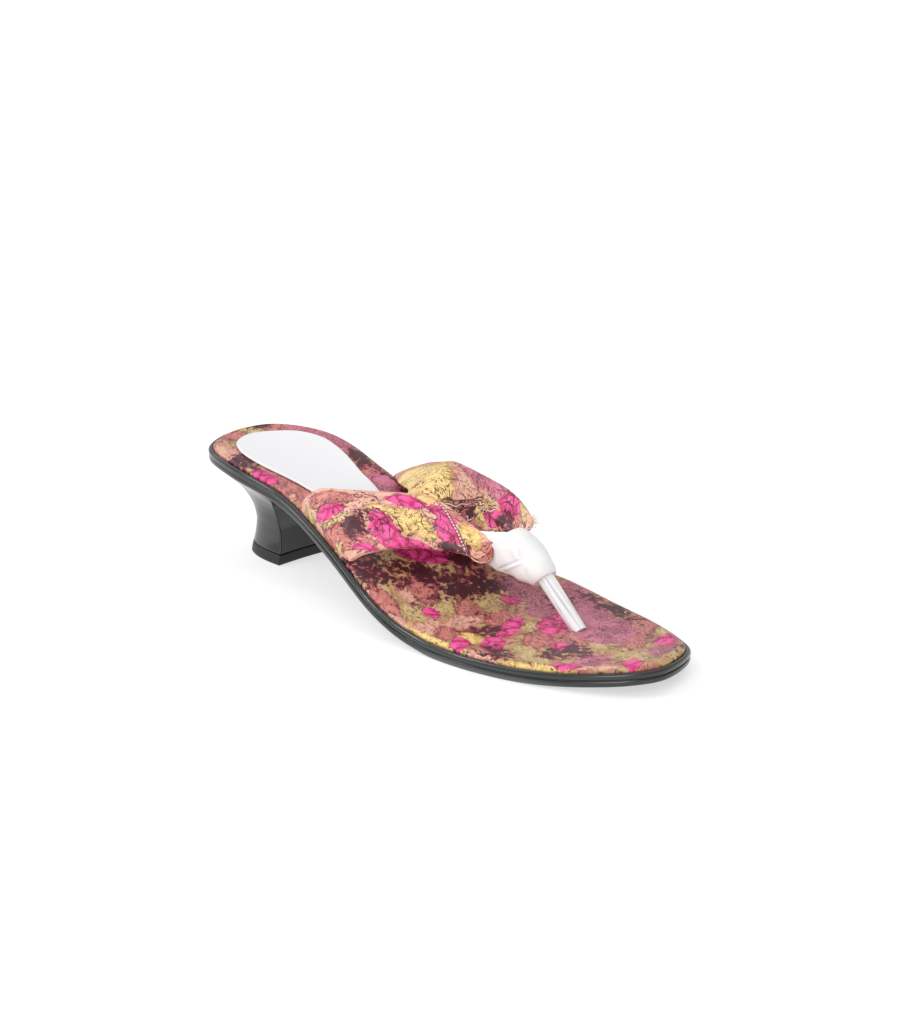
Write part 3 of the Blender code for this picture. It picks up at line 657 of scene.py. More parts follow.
# part, dark tone, light tone, strength of its outline
FORMS = (
    ("Pale", "#A8625C", "#DFB09C", 0.25),
    ("Khaki", "#8E7246", "#CDB484", 0.7),
    ("Rose", "#6C2C36", "#CB817A", 0.35),
    ("Gold", "#A37C3A", "#EDCF8C", 0.6),
)


def floral_print():
    """The print as a node group. Place is in mm on the cloth, and each other input brings in a part of it."""
    group = bpy.data.node_groups.new("floral_print", "ShaderNodeTree")
    group.interface.new_socket("Place", in_out="INPUT", socket_type="NodeSocketVector")
    group.interface.new_socket("Drawn", in_out="INPUT", socket_type="NodeSocketVector")
    for name in (*PRINT_PARTS, "Bright", "Rich"):
        group.interface.new_socket(name, in_out="INPUT", socket_type="NodeSocketFloat")
    group.interface.new_socket("Color", in_out="OUTPUT", socket_type="NodeSocketColor")
    given = add(group, "NodeGroupInput").outputs
    where = given["Place"]
    bent = wandering(group, where, *BENT)
    ragged = wandering(group, bent, *RAGGED)
    slant = {"Rotation": (0, 0, STROKE_SLANT), "Scale": (STROKE_LENGTH, 1.0, 1.0)}
    strokes = add(group, "ShaderNodeMapping", {"vector_type": "TEXTURE"}, bent, **slant)
    brush = add(group, "ShaderNodeTexNoise", None, strokes, Scale=1.0, Detail=4.0, Roughness=0.62)
    rag = add(group, MATHS, MINUS, cloudy(group, bent, *CLOUDS["rags"]), 0.5)

    def wanted(name, raggedness):
        """How much of a part of the print there is, with ragged noise on it."""
        return add(group, MATHS, PLUS, given[name], add(group, MATHS, TIMES, rag, raggedness))

    def asked(name, raggedness=1.5, soft=0.05):
        """Where a part of the print has been asked for, with a ragged edge."""
        return add(group, STEP, SMOOTH, wanted(name, raggedness), 0.5 - soft, 0.5 + soft)

    def outline(name, raggedness=1.5, half=0.05):
        """A line round the edge of a part of the print."""
        off = add(group, MATHS, ABSOLUTE, add(group, MATHS, MINUS, wanted(name, raggedness), 0.5))
        return add(group, STEP, SMOOTH, off, half, half * 0.4)

    def brushed(below, dark, light, shade, mask, strength):
        """A colour between its dark and its light tone, laid over what is below where the mask says."""
        tone = add(group, MIX, COLOURS, shade, colour(dark), colour(light))
        return add(group, MIX, COLOURS, add(group, MATHS, TIMES, mask, strength), below, tone)

    def inked(below, code, mask, strength=0.85):
        """A plain colour drawn over what is below where the mask says."""
        return add(group, MIX, COLOURS, add(group, MATHS, TIMES, mask, strength), below, colour(code))

    broken = add(group, STEP, SMOOTH, cloudy(group, where, *CLOUDS["breaks"]), 0.46, 0.54)

    # ground: washes of khaki, tan and dusty rose
    wash = cloudy(group, bent, *CLOUDS["wash"])
    wash = add(group, MATHS, PLUS, wash, add(group, MATHS, TIMES, brush, 0.2))
    wash = add(group, MATHS, PLUS, wash, -0.1)
    look = add(group, "ShaderNodeValToRGB", None, wash)
    ramp = look.color_ramp
    while len(ramp.elements) < len(WASHES):
        ramp.elements.new(0.5)
    for element, (position, code) in zip(ramp.elements, WASHES):
        element.position = position
        element.color = colour(code)
    busy = given[PRINT_PARTS[0]]
    for name in PRINT_PARTS[1:-1]:
        busy = add(group, MATHS, MOST, busy, given[name])
    free = add(group, STEP, SMOOTH, busy, 0.45, 0.25)

    # leaves: pointed ovals where nothing else is, brushed dark along the midrib
    for size, seed, share, dark, light in LEAVES:
        x, y, chance = scattered(group, bent, size, seed)
        along = add(group, MATHS, PARTED, x, size * 0.62)
        half = add(group, MATHS, MINUS, 1.0, add(group, MATHS, TIMES, along, along))
        half = add(group, MATHS, TIMES, half, size * 0.3)
        off = add(group, MATHS, ABSOLUTE, y)
        room = add(group, MATHS, MINUS, half, off)
        kept = add(group, MATHS, TIMES, add(group, STEP, SMOOTH, chance, share, share - 0.01), free)
        mask = add(group, MATHS, TIMES, add(group, STEP, SMOOTH, room, 0.0, 0.35), kept)
        shade = add(group, MATHS, TIMES, off, 0.16)
        shade = add(group, MATHS, PLUS, shade, add(group, MATHS, TIMES, brush, 1.1))
        look = brushed(look, dark, light, add(group, STEP, SMOOTH, shade, 0.35, 1.0), mask, 0.85)
        rim = add(group, STEP, SMOOTH, room, -0.5, -0.1)
        rim = add(group, MATHS, TIMES, rim, add(group, STEP, SMOOTH, room, 0.4, 0.1))
        rib = add(group, MATHS, TIMES, add(group, STEP, SMOOTH, off, 0.4, 0.1), mask)
        line = add(group, MATHS, MOST, add(group, MATHS, TIMES, rim, kept), rib)
        look = inked(look, INK, add(group, MATHS, TIMES, line, broken), 0.75)

    # khaki, rose, pale and gold forms, each brushed from dark to light and edged in broken ink
    for name, dark, light, ink in FORMS:
        shade = add(group, MATHS, TIMES, given[name], 0.5)
        shade = add(group, MATHS, PLUS, shade, add(group, MATHS, TIMES, brush, 1.6))
        look = brushed(look, dark, light, add(group, STEP, SMOOTH, shade, 0.85, 1.45), asked(name), 0.92)
        look = inked(look, INK, add(group, MATHS, TIMES, outline(name), broken), ink * 0.7)

    # mauve ground, stippled with darker and paler specks
    specks = cloudy(group, where, *CLOUDS["specks"])
    fine = add(group, STEP, SMOOTH, specks, 0.38, 0.56)
    stippled = add(group, MIX, COLOURS, fine, colour("#6A3044"), colour("#BC6A82"))
    coarse = add(group, STEP, SMOOTH, specks, 0.6, 0.66)
    stippled = add(group, MIX, COLOURS, coarse, stippled, colour("#B3907A"))
    mauve = add(group, MATHS, TIMES, asked("Mauve", 1.5, 0.16), 0.9)
    look = add(group, MIX, COLOURS, mauve, look, stippled)
    blushed = add(group, STEP, SMOOTH, wash, 0.5, 0.58)
    blushed = add(group, MATHS, TIMES, asked("Mauve", 2.0, 0.2), blushed)
    look = brushed(look, "#A8506C", "#DC8FA8", brush, blushed, 0.85)

    # magenta blossoms: petals parted by fine dark lines, edged in ink
    petal_edge = distance_to_edge(group, ragged, PETAL, 5)
    petal = add(group, MATHS, TIMES, petal_edge, 0.22)
    petal = add(group, MATHS, PLUS, petal, add(group, MATHS, TIMES, brush, 0.9))
    petal = add(group, STEP, SMOOTH, petal, 0.3, 0.95)
    look = brushed(look, "#AC265A", "#E8629C", petal, asked("Magenta", 1.2, 0.06), 1.0)
    line = add(group, STEP, SMOOTH, petal_edge, 0.3, 0.08)
    line = add(group, MATHS, TIMES, line, asked("Magenta", 1.2))
    line = add(group, MATHS, MOST, add(group, MATHS, TIMES, line, broken), outline("Magenta", 1.2))
    look = inked(look, "#451030", add(group, MATHS, TIMES, line, broken))

    # burgundy clusters: ragged dark blots, closest together where asked for
    dense = add(group, MATHS, TIMES, given["Burgundy"], 0.22)
    clusters = add(group, MATHS, TIMES, cloudy(group, bent, *CLOUDS["clusters"]), 0.4)
    dense = add(group, MATHS, PLUS, dense, clusters)
    dense = add(group, MATHS, PLUS, dense, cloudy(group, ragged, *CLOUDS["blots"]))
    look = inked(look, "#8A3049", add(group, STEP, SMOOTH, dense, 0.81, 0.84))
    look = inked(look, "#3F1722", add(group, STEP, SMOOTH, dense, 0.86, 0.89), 0.95)

    # ink: wandering lines and short dashes, more of them where asked for
    curls = add(group, MATHS, TIMES, cloudy(group, bent, *CLOUDS["curls"]), 9.0)
    curls = add(group, MATHS, PINGPONG, curls, 0.5)
    patchy = add(group, MATHS, TIMES, given["Ink"], 0.14)
    patchy = add(group, MATHS, PLUS, cloudy(group, where, *CLOUDS["curl patches"]), patchy)
    patchy = add(group, STEP, SMOOTH, patchy, 0.54, 0.58)
    line = add(group, MATHS, TIMES, add(group, STEP, SMOOTH, curls, 0.06, 0.025), patchy)
    dash = 0.0
    for seed in (12, 13):
        x, y, chance = scattered(group, bent, DASH_CELL, seed)
        thin = add(group, STEP, SMOOTH, add(group, MATHS, ABSOLUTE, y), 0.26, 0.1)
        short = add(group, STEP, SMOOTH, add(group, MATHS, ABSOLUTE, x), 0.85, 0.55)
        dash = add(group, MATHS, MOST, dash, add(group, MATHS, TIMES, thin, short))
    patchy = add(group, MATHS, TIMES, given["Ink"], 0.16)
    patchy = add(group, MATHS, PLUS, cloudy(group, where, *CLOUDS["dash patches"]), patchy)
    dash = add(group, MATHS, TIMES, dash, add(group, STEP, SMOOTH, patchy, 0.58, 0.62))
    look = inked(look, INK, add(group, MATHS, MOST, line, dash))

    # drawn along given lines: ink outlines, and bands of white beads on plum between two ink lines
    off, step, off_line = add(group, "ShaderNodeSeparateXYZ", None, given["Drawn"]).outputs
    look = inked(look, INK, add(group, STEP, SMOOTH, off_line, 0.3, 0.12))
    look = inked(look, "#9A5068", add(group, STEP, SMOOTH, off, 0.9, 0.7), 1.0)
    edge = add(group, MATHS, ABSOLUTE, add(group, MATHS, MINUS, off, 0.9))
    look = inked(look, INK, add(group, STEP, SMOOTH, edge, 0.24, 0.1), 0.9)
    bead = add(group, STEP, SMOOTH, add(group, MATHS, PINGPONG, step, 0.6), 0.4, 0.2)
    bead = add(group, MATHS, TIMES, bead, add(group, STEP, SMOOTH, off, 0.5, 0.3))
    look = inked(look, "#EBD3CF", bead, 1.0)
    tones = {"Value": given["Bright"], "Saturation": given["Rich"]}
    add(group, "NodeGroupOutput", None, add(group, "ShaderNodeHueSaturation", Color=look, **tones))
    return group


def dyed(tree, where, bright, rich):
    """The print at a place on the cloth, with its parts where the mesh stores them."""
    parts = {"Place": where, "Bright": bright, "Rich": rich}
    for attribute, names in (("print_a", PRINT_PARTS[:4]), ("print_b", PRINT_PARTS[4:])):
        stored = add(tree, "ShaderNodeAttribute", {"attribute_name": attribute})
        amounts = add(tree, "ShaderNodeSeparateColor", None, stored.outputs["Color"])
        parts.update(zip(names, (*amounts.outputs, stored.outputs["Alpha"])))
    parts["Drawn"] = add(tree, "ShaderNodeAttribute", {"attribute_name": "drawn"}).outputs["Vector"]
    return add(tree, "ShaderNodeGroup", {"node_tree": print_group}, **parts).outputs[0]


def along_lines(flat, lines):
    """The distance of each point to the nearest of some lines, and how far along its line that is."""
    nearest, travelled = np.full(len(flat), 9.0), np.zeros(len(flat))
    for line in lines:
        line = spline(line, 4 * len(line))
        start = 0.0
        for a, b in zip(line, line[1:]):
            d = b - a
            u = np.clip(((flat - a) @ d) / (d @ d), 0, 1)
            gap = np.linalg.norm(flat - a - u[:, None] * d, axis=1)
            travelled = np.where(gap < nearest, start + u * np.linalg.norm(d), travelled)
            nearest = np.minimum(nearest, gap)
            start += np.linalg.norm(d)
    return nearest, travelled


def lay_print(mesh, flat, forms, beads=(), lines=(), piping=()):
    """Stores how much of each part of the print a point has, and how far it is from the lines given to be
    drawn.
    """
    amounts = np.zeros((len(flat), len(PRINT_PARTS)))
    for x, y, half_length, half_width, degrees, name in forms:
        a = math.radians(degrees)
        dx, dy = flat[:, 0] - x, flat[:, 1] - y
        along = (dx * math.cos(a) + dy * math.sin(a)) / (half_length * 1.2)
        across = (dy * math.cos(a) - dx * math.sin(a)) / half_width
        amount = np.clip(0.5 + 0.7 * (FORM_REACH - np.abs(across) - along**2), 0, 1)
        k = PRINT_PARTS.index(name)
        amounts[:, k] = np.maximum(amounts[:, k], amount)
    for attribute, part in (("print_a", amounts[:, :4]), ("print_b", amounts[:, 4:])):
        stored = mesh.attributes.new(attribute, "FLOAT_COLOR", "POINT")
        stored.data.foreach_set("color", part.astype(np.float32).ravel())
    off, step = along_lines(flat, beads)
    piped = along_lines(flat, piping)[0] * PIPING_SLIMNESS
    off, step = np.minimum(off, piped), np.where(piped < off, 0.0, step)
    drawn = np.column_stack([off, step, along_lines(flat, lines)[0]])
    stored = mesh.attributes.new("drawn", "FLOAT_VECTOR", "POINT")
    stored.data.foreach_set("vector", drawn.astype(np.float32).ravel())


def mesh_points(mesh):
    """A mesh's points by station, side distance and height, in millimetres."""
    points = np.empty(len(mesh.vertices) * 3)
    mesh.vertices.foreach_get("co", points)
    return points.reshape(-1, 3) / MM - (BACK, 0, 0)


print_group = floral_print()
# Printed polyester satin: smooth and closely woven, so its colours show through an even, low gloss.
printed, tree, shader = new_material("printed_polyester_satin", Roughness=0.4, IOR=1.45)
place = add(tree, "ShaderNodeTexCoord").outputs["Object"]
in_mm = add(tree, VECTORS, {"operation": "SCALE"}, place, Scale=1 / MM)
tree.links.new(dyed(tree, in_mm, 1.0, 1.05), shader.inputs["Base Color"])
# station, side distance, half-length, half-width, turn in degrees, part of the print
BED_PRINT = (
    (121, -2, 11, 5, 66, "Magenta"), (133, 8, 8, 12, 0, "Burgundy"), (140, 2, 8, 14, 0, "Burgundy"),
    (146, 8, 5, 7, 0, "Burgundy"), (118, -19, 5, 7, 0, "Khaki"), (129, -4, 5, 6, 0, "Khaki"),
    # the burgundy at (122, -27) and (116, -36) is print and painted shade too, under and beside the near
    # band's hem
    (122, -27, 9, 9, 0, "Burgundy"), (131, -14, 6, 5, 0, "Burgundy"), (130, -35, 5, 3, 0, "Khaki"),
    (112, -33, 8, 6, 0, "Rose"), (116, -36, 8, 4, 0, "Burgundy"), (152, 19, 8, 5, -30, "Mauve"),
    (158, 8, 4, 2.6, 0, "Magenta"), (151, 3, 6, 9, 20, "Khaki"), (150, -16, 4, 11, -15, "Khaki"),
    (163, 12, 6, 5, 0, "Khaki"), (137, -19, 8, 5, -30, "Rose"), (141, -27, 6, 3, 30, "Pale"),
    (150, -27, 3.6, 2.6, 0, "Magenta"), (161, -20, 9, 4.5, -75, "Pale"), (154, -12, 6, 4, -60, "Rose"),
    (147, -34, 6, 4, 0, "Khaki"), (155, -33, 5, 3, 30, "Pale"), (136, -39, 8, 3, -5, "Rose"),
    (159, -38, 6, 4, -10, "Pale"), (166, -34, 6, 4, -40, "Rose"), (167, -8, 7, 4, -60, "Rose"),
    (177, -11, 10, 3, -62, "Magenta"), (173, -20, 6, 4, -40, "Burgundy"), (175, -30, 5, 3.4, -20, "Gold"),
    (185, -28, 7, 3.4, -50, "Magenta"), (176, -37, 5, 3, -40, "Magenta"), (192, -33, 7, 4, -20, "Burgundy"),
    (171, 13, 12, 6, -38, "Mauve"), (186, 3, 9, 5, -55, "Magenta"), (182, -5, 7, 2.6, -60, "Khaki"),
    (193, -12, 8, 5, -50, "Rose"), (198, -24, 9, 4, -40, "Khaki"), (203, -2, 7, 4, -30, "Rose"),
    (211, -1, 7, 4, -20, "Khaki"), (205, -12, 5, 3, -20, "Magenta"), (213, -13, 7, 5, -20, "Burgundy"),
    (209, -20, 7, 4, -30, "Burgundy"), (209, -29, 8, 3.4, 0, "Khaki"), (221, -27, 5, 2.6, 15, "Magenta"),
    (225, -16, 6, 5, -40, "Mauve"), (232, -3, 9, 6, -30, "Khaki"), (241, -13, 5, 3, -50, "Magenta"),
    (238, 7, 8, 4, -65, "Mauve"), (232, 17, 6, 4, -50, "Magenta"), (224, 24, 8, 3, -40, "Khaki"),
    (216, 12, 13, 7, -35, "Rose"), (184, 22, 22, 7, -28, "Mauve"), (203, 13, 15, 9, -30, "Mauve"),
    (186, 33, 14, 4, -14, "Burgundy"), (198, 27, 7, 3, -55, "Khaki"), (212, 24, 8, 5, -40, "Rose"),
    (168, 34, 8, 5, -30, "Mauve"), (170, 22, 9, 4, -35, "Burgundy"), (245, 3, 5, 4, 0, "Khaki"),
    (5, 2, 4, 8, 0, "Khaki"), (7, -10, 4, 6, 0, "Rose"), (4, 9, 3, 5, 0, "Burgundy"),
    (24, -25, 8, 4, -10, "Pale"), (36, -26, 8, 5, 0, "Burgundy"), (50, -27, 6, 3, 0, "Magenta"),
    (60, -24, 7, 5, 0, "Rose"), (69, -24, 6, 5, 0, "Pale"), (10, 12, 4, 6, 0, "Rose"),
    (22, 20, 9, 4, 20, "Mauve"), (41, 23, 8, 3, 0, "Mauve"), (56, 20, 8, 4, -10, "Burgundy"),
    (66, 18, 7, 5, -10, "Rose"), (78, 17, 9, 6, 0, "Mauve"), (64, 21, 8, 1.6, 0, "Burgundy"),
    (84, 22, 7, 2, 0, "Burgundy"), (80, -20, 14, 9, 0, "Rose"), (100, -22, 12, 10, 0, "Khaki"),
    (96, 8, 12, 9, 0, "Rose"), (72, 4, 9, 7, 0, "Pale"), (113, 18, 6, 9, 0, "Khaki"),
    (92, 20, 8, 4, 0, "Burgundy"), (216, 20, 30, 9, -40, "Ink"), (150, -5, 10, 14, 0, "Ink"),
    # the last five: narrow pale and gold strips along the outer rolled edge, a painted highlight on the roll
    (140, -41.6, 14, 1.3, -2, "Pale"), (168, -41, 12, 1.2, 2, "Gold"), (190, -38.6, 14, 1.4, 8, "Pale"),
    (212, -33, 12, 1.4, 18, "Gold"), (232, -23, 9, 1.4, 30, "Pale"),
)
lay_print(bed_mesh, mesh_points(bed_mesh)[:, :2], BED_PRINT)
bed.data.materials.append(printed)
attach(bed, "root")
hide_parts("footbed")


# ---------------------------------------------------------------------------------------------------------
# Heel pad. A bare die-cut pad of white coated fabric over thin foam, stuck to the footbed with its cut edge
# left raw.

PAD_THICKNESS = 1.0
PAD_OUTER = ((13.4, -11.2), (19.0, -17.4), (29.1, -21.9), (42.0, -22.6), (60.0, -19.6), (84.0, -15.2))
PAD_INNER = ((13.6, 6.0), (20.0, 14.0), (32.1, 18.6), (46.0, 17.4), (64.5, 12.2), (85.0, 6.2))
PAD_BACK = (11.0, -3.0)
PAD_FRONT = (94.0, -6.0)
PAD_SIDE_STEPS = 90
# how far out from the pad's outline, how high above the footbed's gap
PAD_EDGE = ((-0.2, 0.0), (0.0, 0.25), (-0.02, 0.6), (-0.14, 0.82), (-0.36, 0.95), (-0.8, PAD_THICKNESS))
pad_ring = closed_ring(PAD_BACK, PAD_OUTER, PAD_FRONT, PAD_INNER, PAD_SIDE_STEPS)
under_pad = bed_height(pad_ring[:, 0], pad_ring[:, 1]) + GAP
pad_mesh = slab(
    "heel_pad_cover",
    pad_ring,
    [(out, under_pad + rise) for out, rise in PAD_EDGE],
    bottom=lambda x, y: bed_height(x, y) + GAP,
    top=lambda x, y: bed_height(x, y) + GAP + PAD_THICKNESS,
    across=30,
)
pad = link_object("heel_pad_cover", pad_mesh)
# Coated fabric: a cool white with a smooth, half-matt skin.
white_skin, *_ = new_material("white_coated_fabric", Base_Color=colour("#E5E5E8"), Roughness=0.5)
pad.data.materials.append(white_skin)
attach(pad, "root")
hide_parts("heel_pad")


# ---------------------------------------------------------------------------------------------------------
# Near band. Printed satin over a thin lining, folded flat with its edges turned under. It comes up out of
# the slot along the outer side of the footbed, sweeps inwards and forwards over the foot and ends in a
# rolled tip, whose mouth has a turned lip.

BAND_WALL = 1.1
LIP_WALL = 0.6
TUCK_DEPTH = 0.4
TUCK_RISES = (-TUCK_DEPTH, 0.6, 2.4)
HEM_STEPS = 5
HEM_FULLNESS = 0.4
UNDERSIDE_SHIFT = 40
NEAR_BASE = (78.0, 109.0)
# rear, upper, lower, front, hem: each by station, side distance and height
NEAR_BAND = (
    ((84, -33.2, 43), (93, -34.2, 38.6), (103, -36.8, 31.6), (113, -38.2, 25.6), (114, -37.4, 24.4)),
    ((90, -31.5, 47.4), (101, -33, 42.6), (111, -35, 35), (118, -35, 28.2), (118.4, -33.8, 27)),
    ((98.3, -25, 47.6), (107.5, -27, 44), (116.5, -29.2, 36.6), (122.3, -28, 29.3), (122.4, -26.6, 28.2)),
    ((107, -17, 47), (114.5, -19.5, 44.2), (122.5, -22.3, 37), (127.2, -22, 29.8), (127, -20.6, 28.6)),
    ((116, -9.5, 46.6), (121.8, -12, 44), (128.2, -15, 36.8), (131.2, -15.5, 28.8), (130.6, -13.8, 27.8)),
    ((124, -4.8, 45.9), (129.3, -6.8, 42.9), (134.8, -9, 35.4), (136.8, -9.5, 27.6), (135.8, -7.4, 26.6)),
    ((132, -1.8, 43.4), (137, -2.8, 40.2), (142.2, -4.2, 33.8), (143.6, -4.6, 27), (141.8, -1.8, 25.2)),
    ((140.8, 0.2, 38.8), (145.2, -0.2, 37.2), (149.8, -1.2, 31.9), (149.8, -2.2, 25.6), (146.6, 1.6, 24.4)),
    ((146.4, 1.8, 35.2), (150.6, 1.3, 34.7), (154.6, 0.4, 31.4), (153.4, -0.5, 27.4), (150.2, 2, 26.8)),
)
# rim, bottom and inside of the mouth, from its rear corner round underneath to its front corner
LIP = (
    ((146.1, -4.2, 30.4), (146.4, -3.4, 30.5), (147.0, -2.4, 31.2)),
    ((146.9, -4.1, 28.3), (147.0, -3.2, 28.4), (147.6, -2.2, 30.0)),
    ((148.1, -3.7, 26.2), (148.0, -2.8, 26.2), (148.6, -1.8, 28.4)),
    ((150.4, -2.9, 24.9), (150.1, -2.0, 24.8), (150.2, -1.2, 27.2)),
    ((153.0, -2.1, 24.9), (152.6, -1.2, 24.8), (152.4, -0.6, 27.2)),
    ((155.5, -1.3, 26.3), (155.0, -0.6, 26.4), (154.2, -0.2, 28.2)),
    ((156.5, -0.9, 28.6), (155.9, -0.4, 28.7), (154.8, 0.2, 29.6)),
    ((155.8, -0.3, 30.8), (155.2, 0.1, 30.7), (154.2, 0.6, 31.0)),
)
# points along and across the cloth, width, rise
NEAR_CREASES = (
    (((8, 28), (13, 20), (20, 13), (27, 5)), 2.6, -0.8),
    (((14, 29), (20, 22), (28, 14), (35, 6)), 2.6, 0.6),
    (((28, 27), (36, 22), (46, 17), (58, 12)), 3.4, 0.5),
    (((34, 12), (44, 9), (54, 7)), 2.2, -0.4),
    (((56, 5), (65, 7.6), (76, 8)), 1.3, -0.6),
    (((55, 14), (66, 12.6), (77, 10.4)), 1.5, 0.5),
    (((58, 19), (67, 16.6), (75, 13.4)), 1.2, -0.6),
    (((64, 21), (70, 18), (77, 14.6)), 1.2, 0.4),
    (((26, 1.6), (44, 1.5), (60, 1.4)), 0.9, 0.35),
)


def tuck(x, side, rise):
    """A point on the tray's wall where a band goes down into it."""
    return (x, side * (float(half_width(x, side)) - GAP), float(rim_height(x)) + rise)


def sheet_grid(rows, along, across):
    """A fine grid of points through a coarse one, smooth both ways."""
    fine_rows = np.array([spline(row, across) for row in rows])
    return np.stack([spline(fine_rows[:, k], along) for k in range(across)], axis=1)


def cloth_lengths(grid):
    """How far each grid point lies along the cloth and across it, in millimetres."""
    step = np.linalg.norm(np.diff(grid, axis=0), axis=2).mean(axis=1)
    along = np.concatenate([[0.0], np.cumsum(step)])
    widths = np.linalg.norm(np.diff(grid, axis=1), axis=2).cumsum(axis=1)
    across = np.concatenate([np.zeros((len(grid), 1)), widths], axis=1)
    return np.repeat(along[:, None], grid.shape[1], axis=1), across


def grid_normals(grid):
    """The unit normal of a sheet at each of its grid points."""
    normal = np.cross(np.gradient(grid, axis=1), np.gradient(grid, axis=0))
    return normal / np.maximum(np.linalg.norm(normal, axis=2), 1e-9)[..., None]


def from_line(along, across, line):
    """How far places on the cloth are from a line, their share of the way along it and their side of it."""
    nearest, share, side = np.full(along.shape, 1e9), np.zeros(along.shape), np.zeros(along.shape)
    line = spline(line, 6 * len(line))
    for k, (a, b) in enumerate(zip(line, line[1:])):
        d = b - a
        u = np.clip(((along - a[0]) * d[0] + (across - a[1]) * d[1]) / (d @ d), 0, 1)
        gap = np.hypot(along - a[0] - u * d[0], across - a[1] - u * d[1])
        closer = gap < nearest
        share = np.where(closer, (k + u) / (len(line) - 1), share)
        side = np.where(closer, np.sign((along - a[0]) * d[1] - (across - a[1]) * d[0]), side)
        nearest = np.minimum(nearest, gap)
    return nearest, share, side


def creased(grid, creases):
    """A sheet with soft troughs and ridges pressed in. Each has a line on the cloth, a width and a rise."""
    along, across = cloth_lengths(grid)
    rise = np.zeros(along.shape)
    for line, width, height in creases:
        nearest, share, side = from_line(along, across, line)
        fade = np.sin(np.pi * np.clip(share, 0.02, 0.98)) ** 0.6
        rise += height * fade * np.exp(-((nearest / width) ** 2))
    return grid + grid_normals(grid) * rise[..., None]


def cloth_from(name, grid, wall):
    """A closed cloth of a given thickness under a grid, with rounded borders and its lengths stored."""
    rows, columns = grid.shape[:2]
    normal = grid_normals(grid)
    along, across = cloth_lengths(grid)
    edge = [(0, k) for k in range(columns)] + [(j, columns - 1) for j in range(1, rows)]
    edge += [(rows - 1, k) for k in range(columns - 2, -1, -1)] + [(j, 0) for j in range(rows - 2, 0, -1)]
    # away from the cloth at its borders, where the corners lean towards the sides
    out = np.zeros(grid.shape)
    out[0] += grid[0] - grid[1]
    out[-1] += grid[-1] - grid[-2]
    out[:, 0] += (grid[:, 0] - grid[:, 1]) * columns / 10
    out[:, -1] += (grid[:, -1] - grid[:, -2]) * columns / 10
    points = [grid.reshape(-1, 3), (grid - normal * wall).reshape(-1, 3)]
    lengths = []
    for shift in (0, UNDERSIDE_SHIFT):
        lengths.append(np.stack([along, across, 0 * along + shift], -1).reshape(-1, 3))
    index = np.arange(rows * columns).reshape(rows, columns)
    faces = []
    for a, b, c, d in zip(index[:-1, :-1].flat, index[:-1, 1:].flat, index[1:, 1:].flat, index[1:, :-1].flat):
        faces.append((a, b, c, d))
        faces.append((d + rows * columns, c + rows * columns, b + rows * columns, a + rows * columns))
    rims = [[int(index[j, k]) for j, k in edge]]
    top = 2 * rows * columns
    for step in range(1, HEM_STEPS):
        turn = math.pi * step / HEM_STEPS
        ring = []
        for j, k in edge:
            away = out[j, k] - normal[j, k] * (out[j, k] @ normal[j, k])
            away /= max(np.linalg.norm(away), 1e-9)
            middle = grid[j, k] - normal[j, k] * wall / 2
            down = normal[j, k] * math.cos(turn) * wall / 2
            ring.append(middle + down + away * math.sin(turn) * wall * HEM_FULLNESS)
        points.append(np.array(ring))
        lengths.append(np.array([(along[j, k], across[j, k] + step * 0.3, 0) for j, k in edge]))
        rims.append(list(range(top, top + len(edge))))
        top += len(edge)
    rims.append([int(index[j, k]) + rows * columns for j, k in edge])
    for near, far in zip(rims, rims[1:]):
        for i in range(len(edge)):
            n = (i + 1) % len(edge)
            faces.append((near[n], near[i], far[i], far[n]))
    mesh = bpy.data.meshes.new(name)
    places = [tuple(p) for p in in_metres(np.vstack(points))]
    mesh.from_pydata(places, [], [tuple(map(int, face)) for face in faces])
    stored = mesh.attributes.new("cloth", "FLOAT_VECTOR", "POINT")
    stored.data.foreach_set("vector", np.vstack(lengths).astype(np.float32).ravel())
    work = bmesh.new()
    work.from_mesh(mesh)
    bmesh.ops.recalc_face_normals(work, faces=work.faces)
    work.to_mesh(mesh)
    work.free()
    mesh.polygons.foreach_set("use_smooth", [True] * len(mesh.polygons))
    return mesh


def places_on_cloth(mesh):
    """How far each of a cloth's points lies along and across it, as cloth_from stored it."""
    stored = np.empty(len(mesh.vertices) * 3)
    mesh.attributes["cloth"].data.foreach_get("vector", stored)
    return stored.reshape(-1, 3)[:, :2]


start, end = NEAR_BASE
near_rows = [[tuck(start + (end - start) * k / 4, -1, rise) for k in range(5)] for rise in TUCK_RISES]
near_grid = creased(sheet_grid(near_rows + list(NEAR_BAND), along=220, across=90), NEAR_CREASES)
near_band = link_object("near_band", cloth_from("near_band", near_grid, BAND_WALL))
lip_grid = sheet_grid([row[::-1] for row in LIP], along=60, across=24)
lip = link_object("tip_lip", cloth_from("tip_lip", lip_grid, LIP_WALL))

# The same satin on the bands, its print laid along the cloth: a soft gloss that runs over each crease.
band_cloth, tree, shader = new_material("printed_satin_band", Roughness=0.4)
place = add(tree, "ShaderNodeAttribute", {"attribute_name": "cloth"}).outputs["Vector"]
tree.links.new(dyed(tree, place, 1.15, 1.04), shader.inputs["Base Color"])
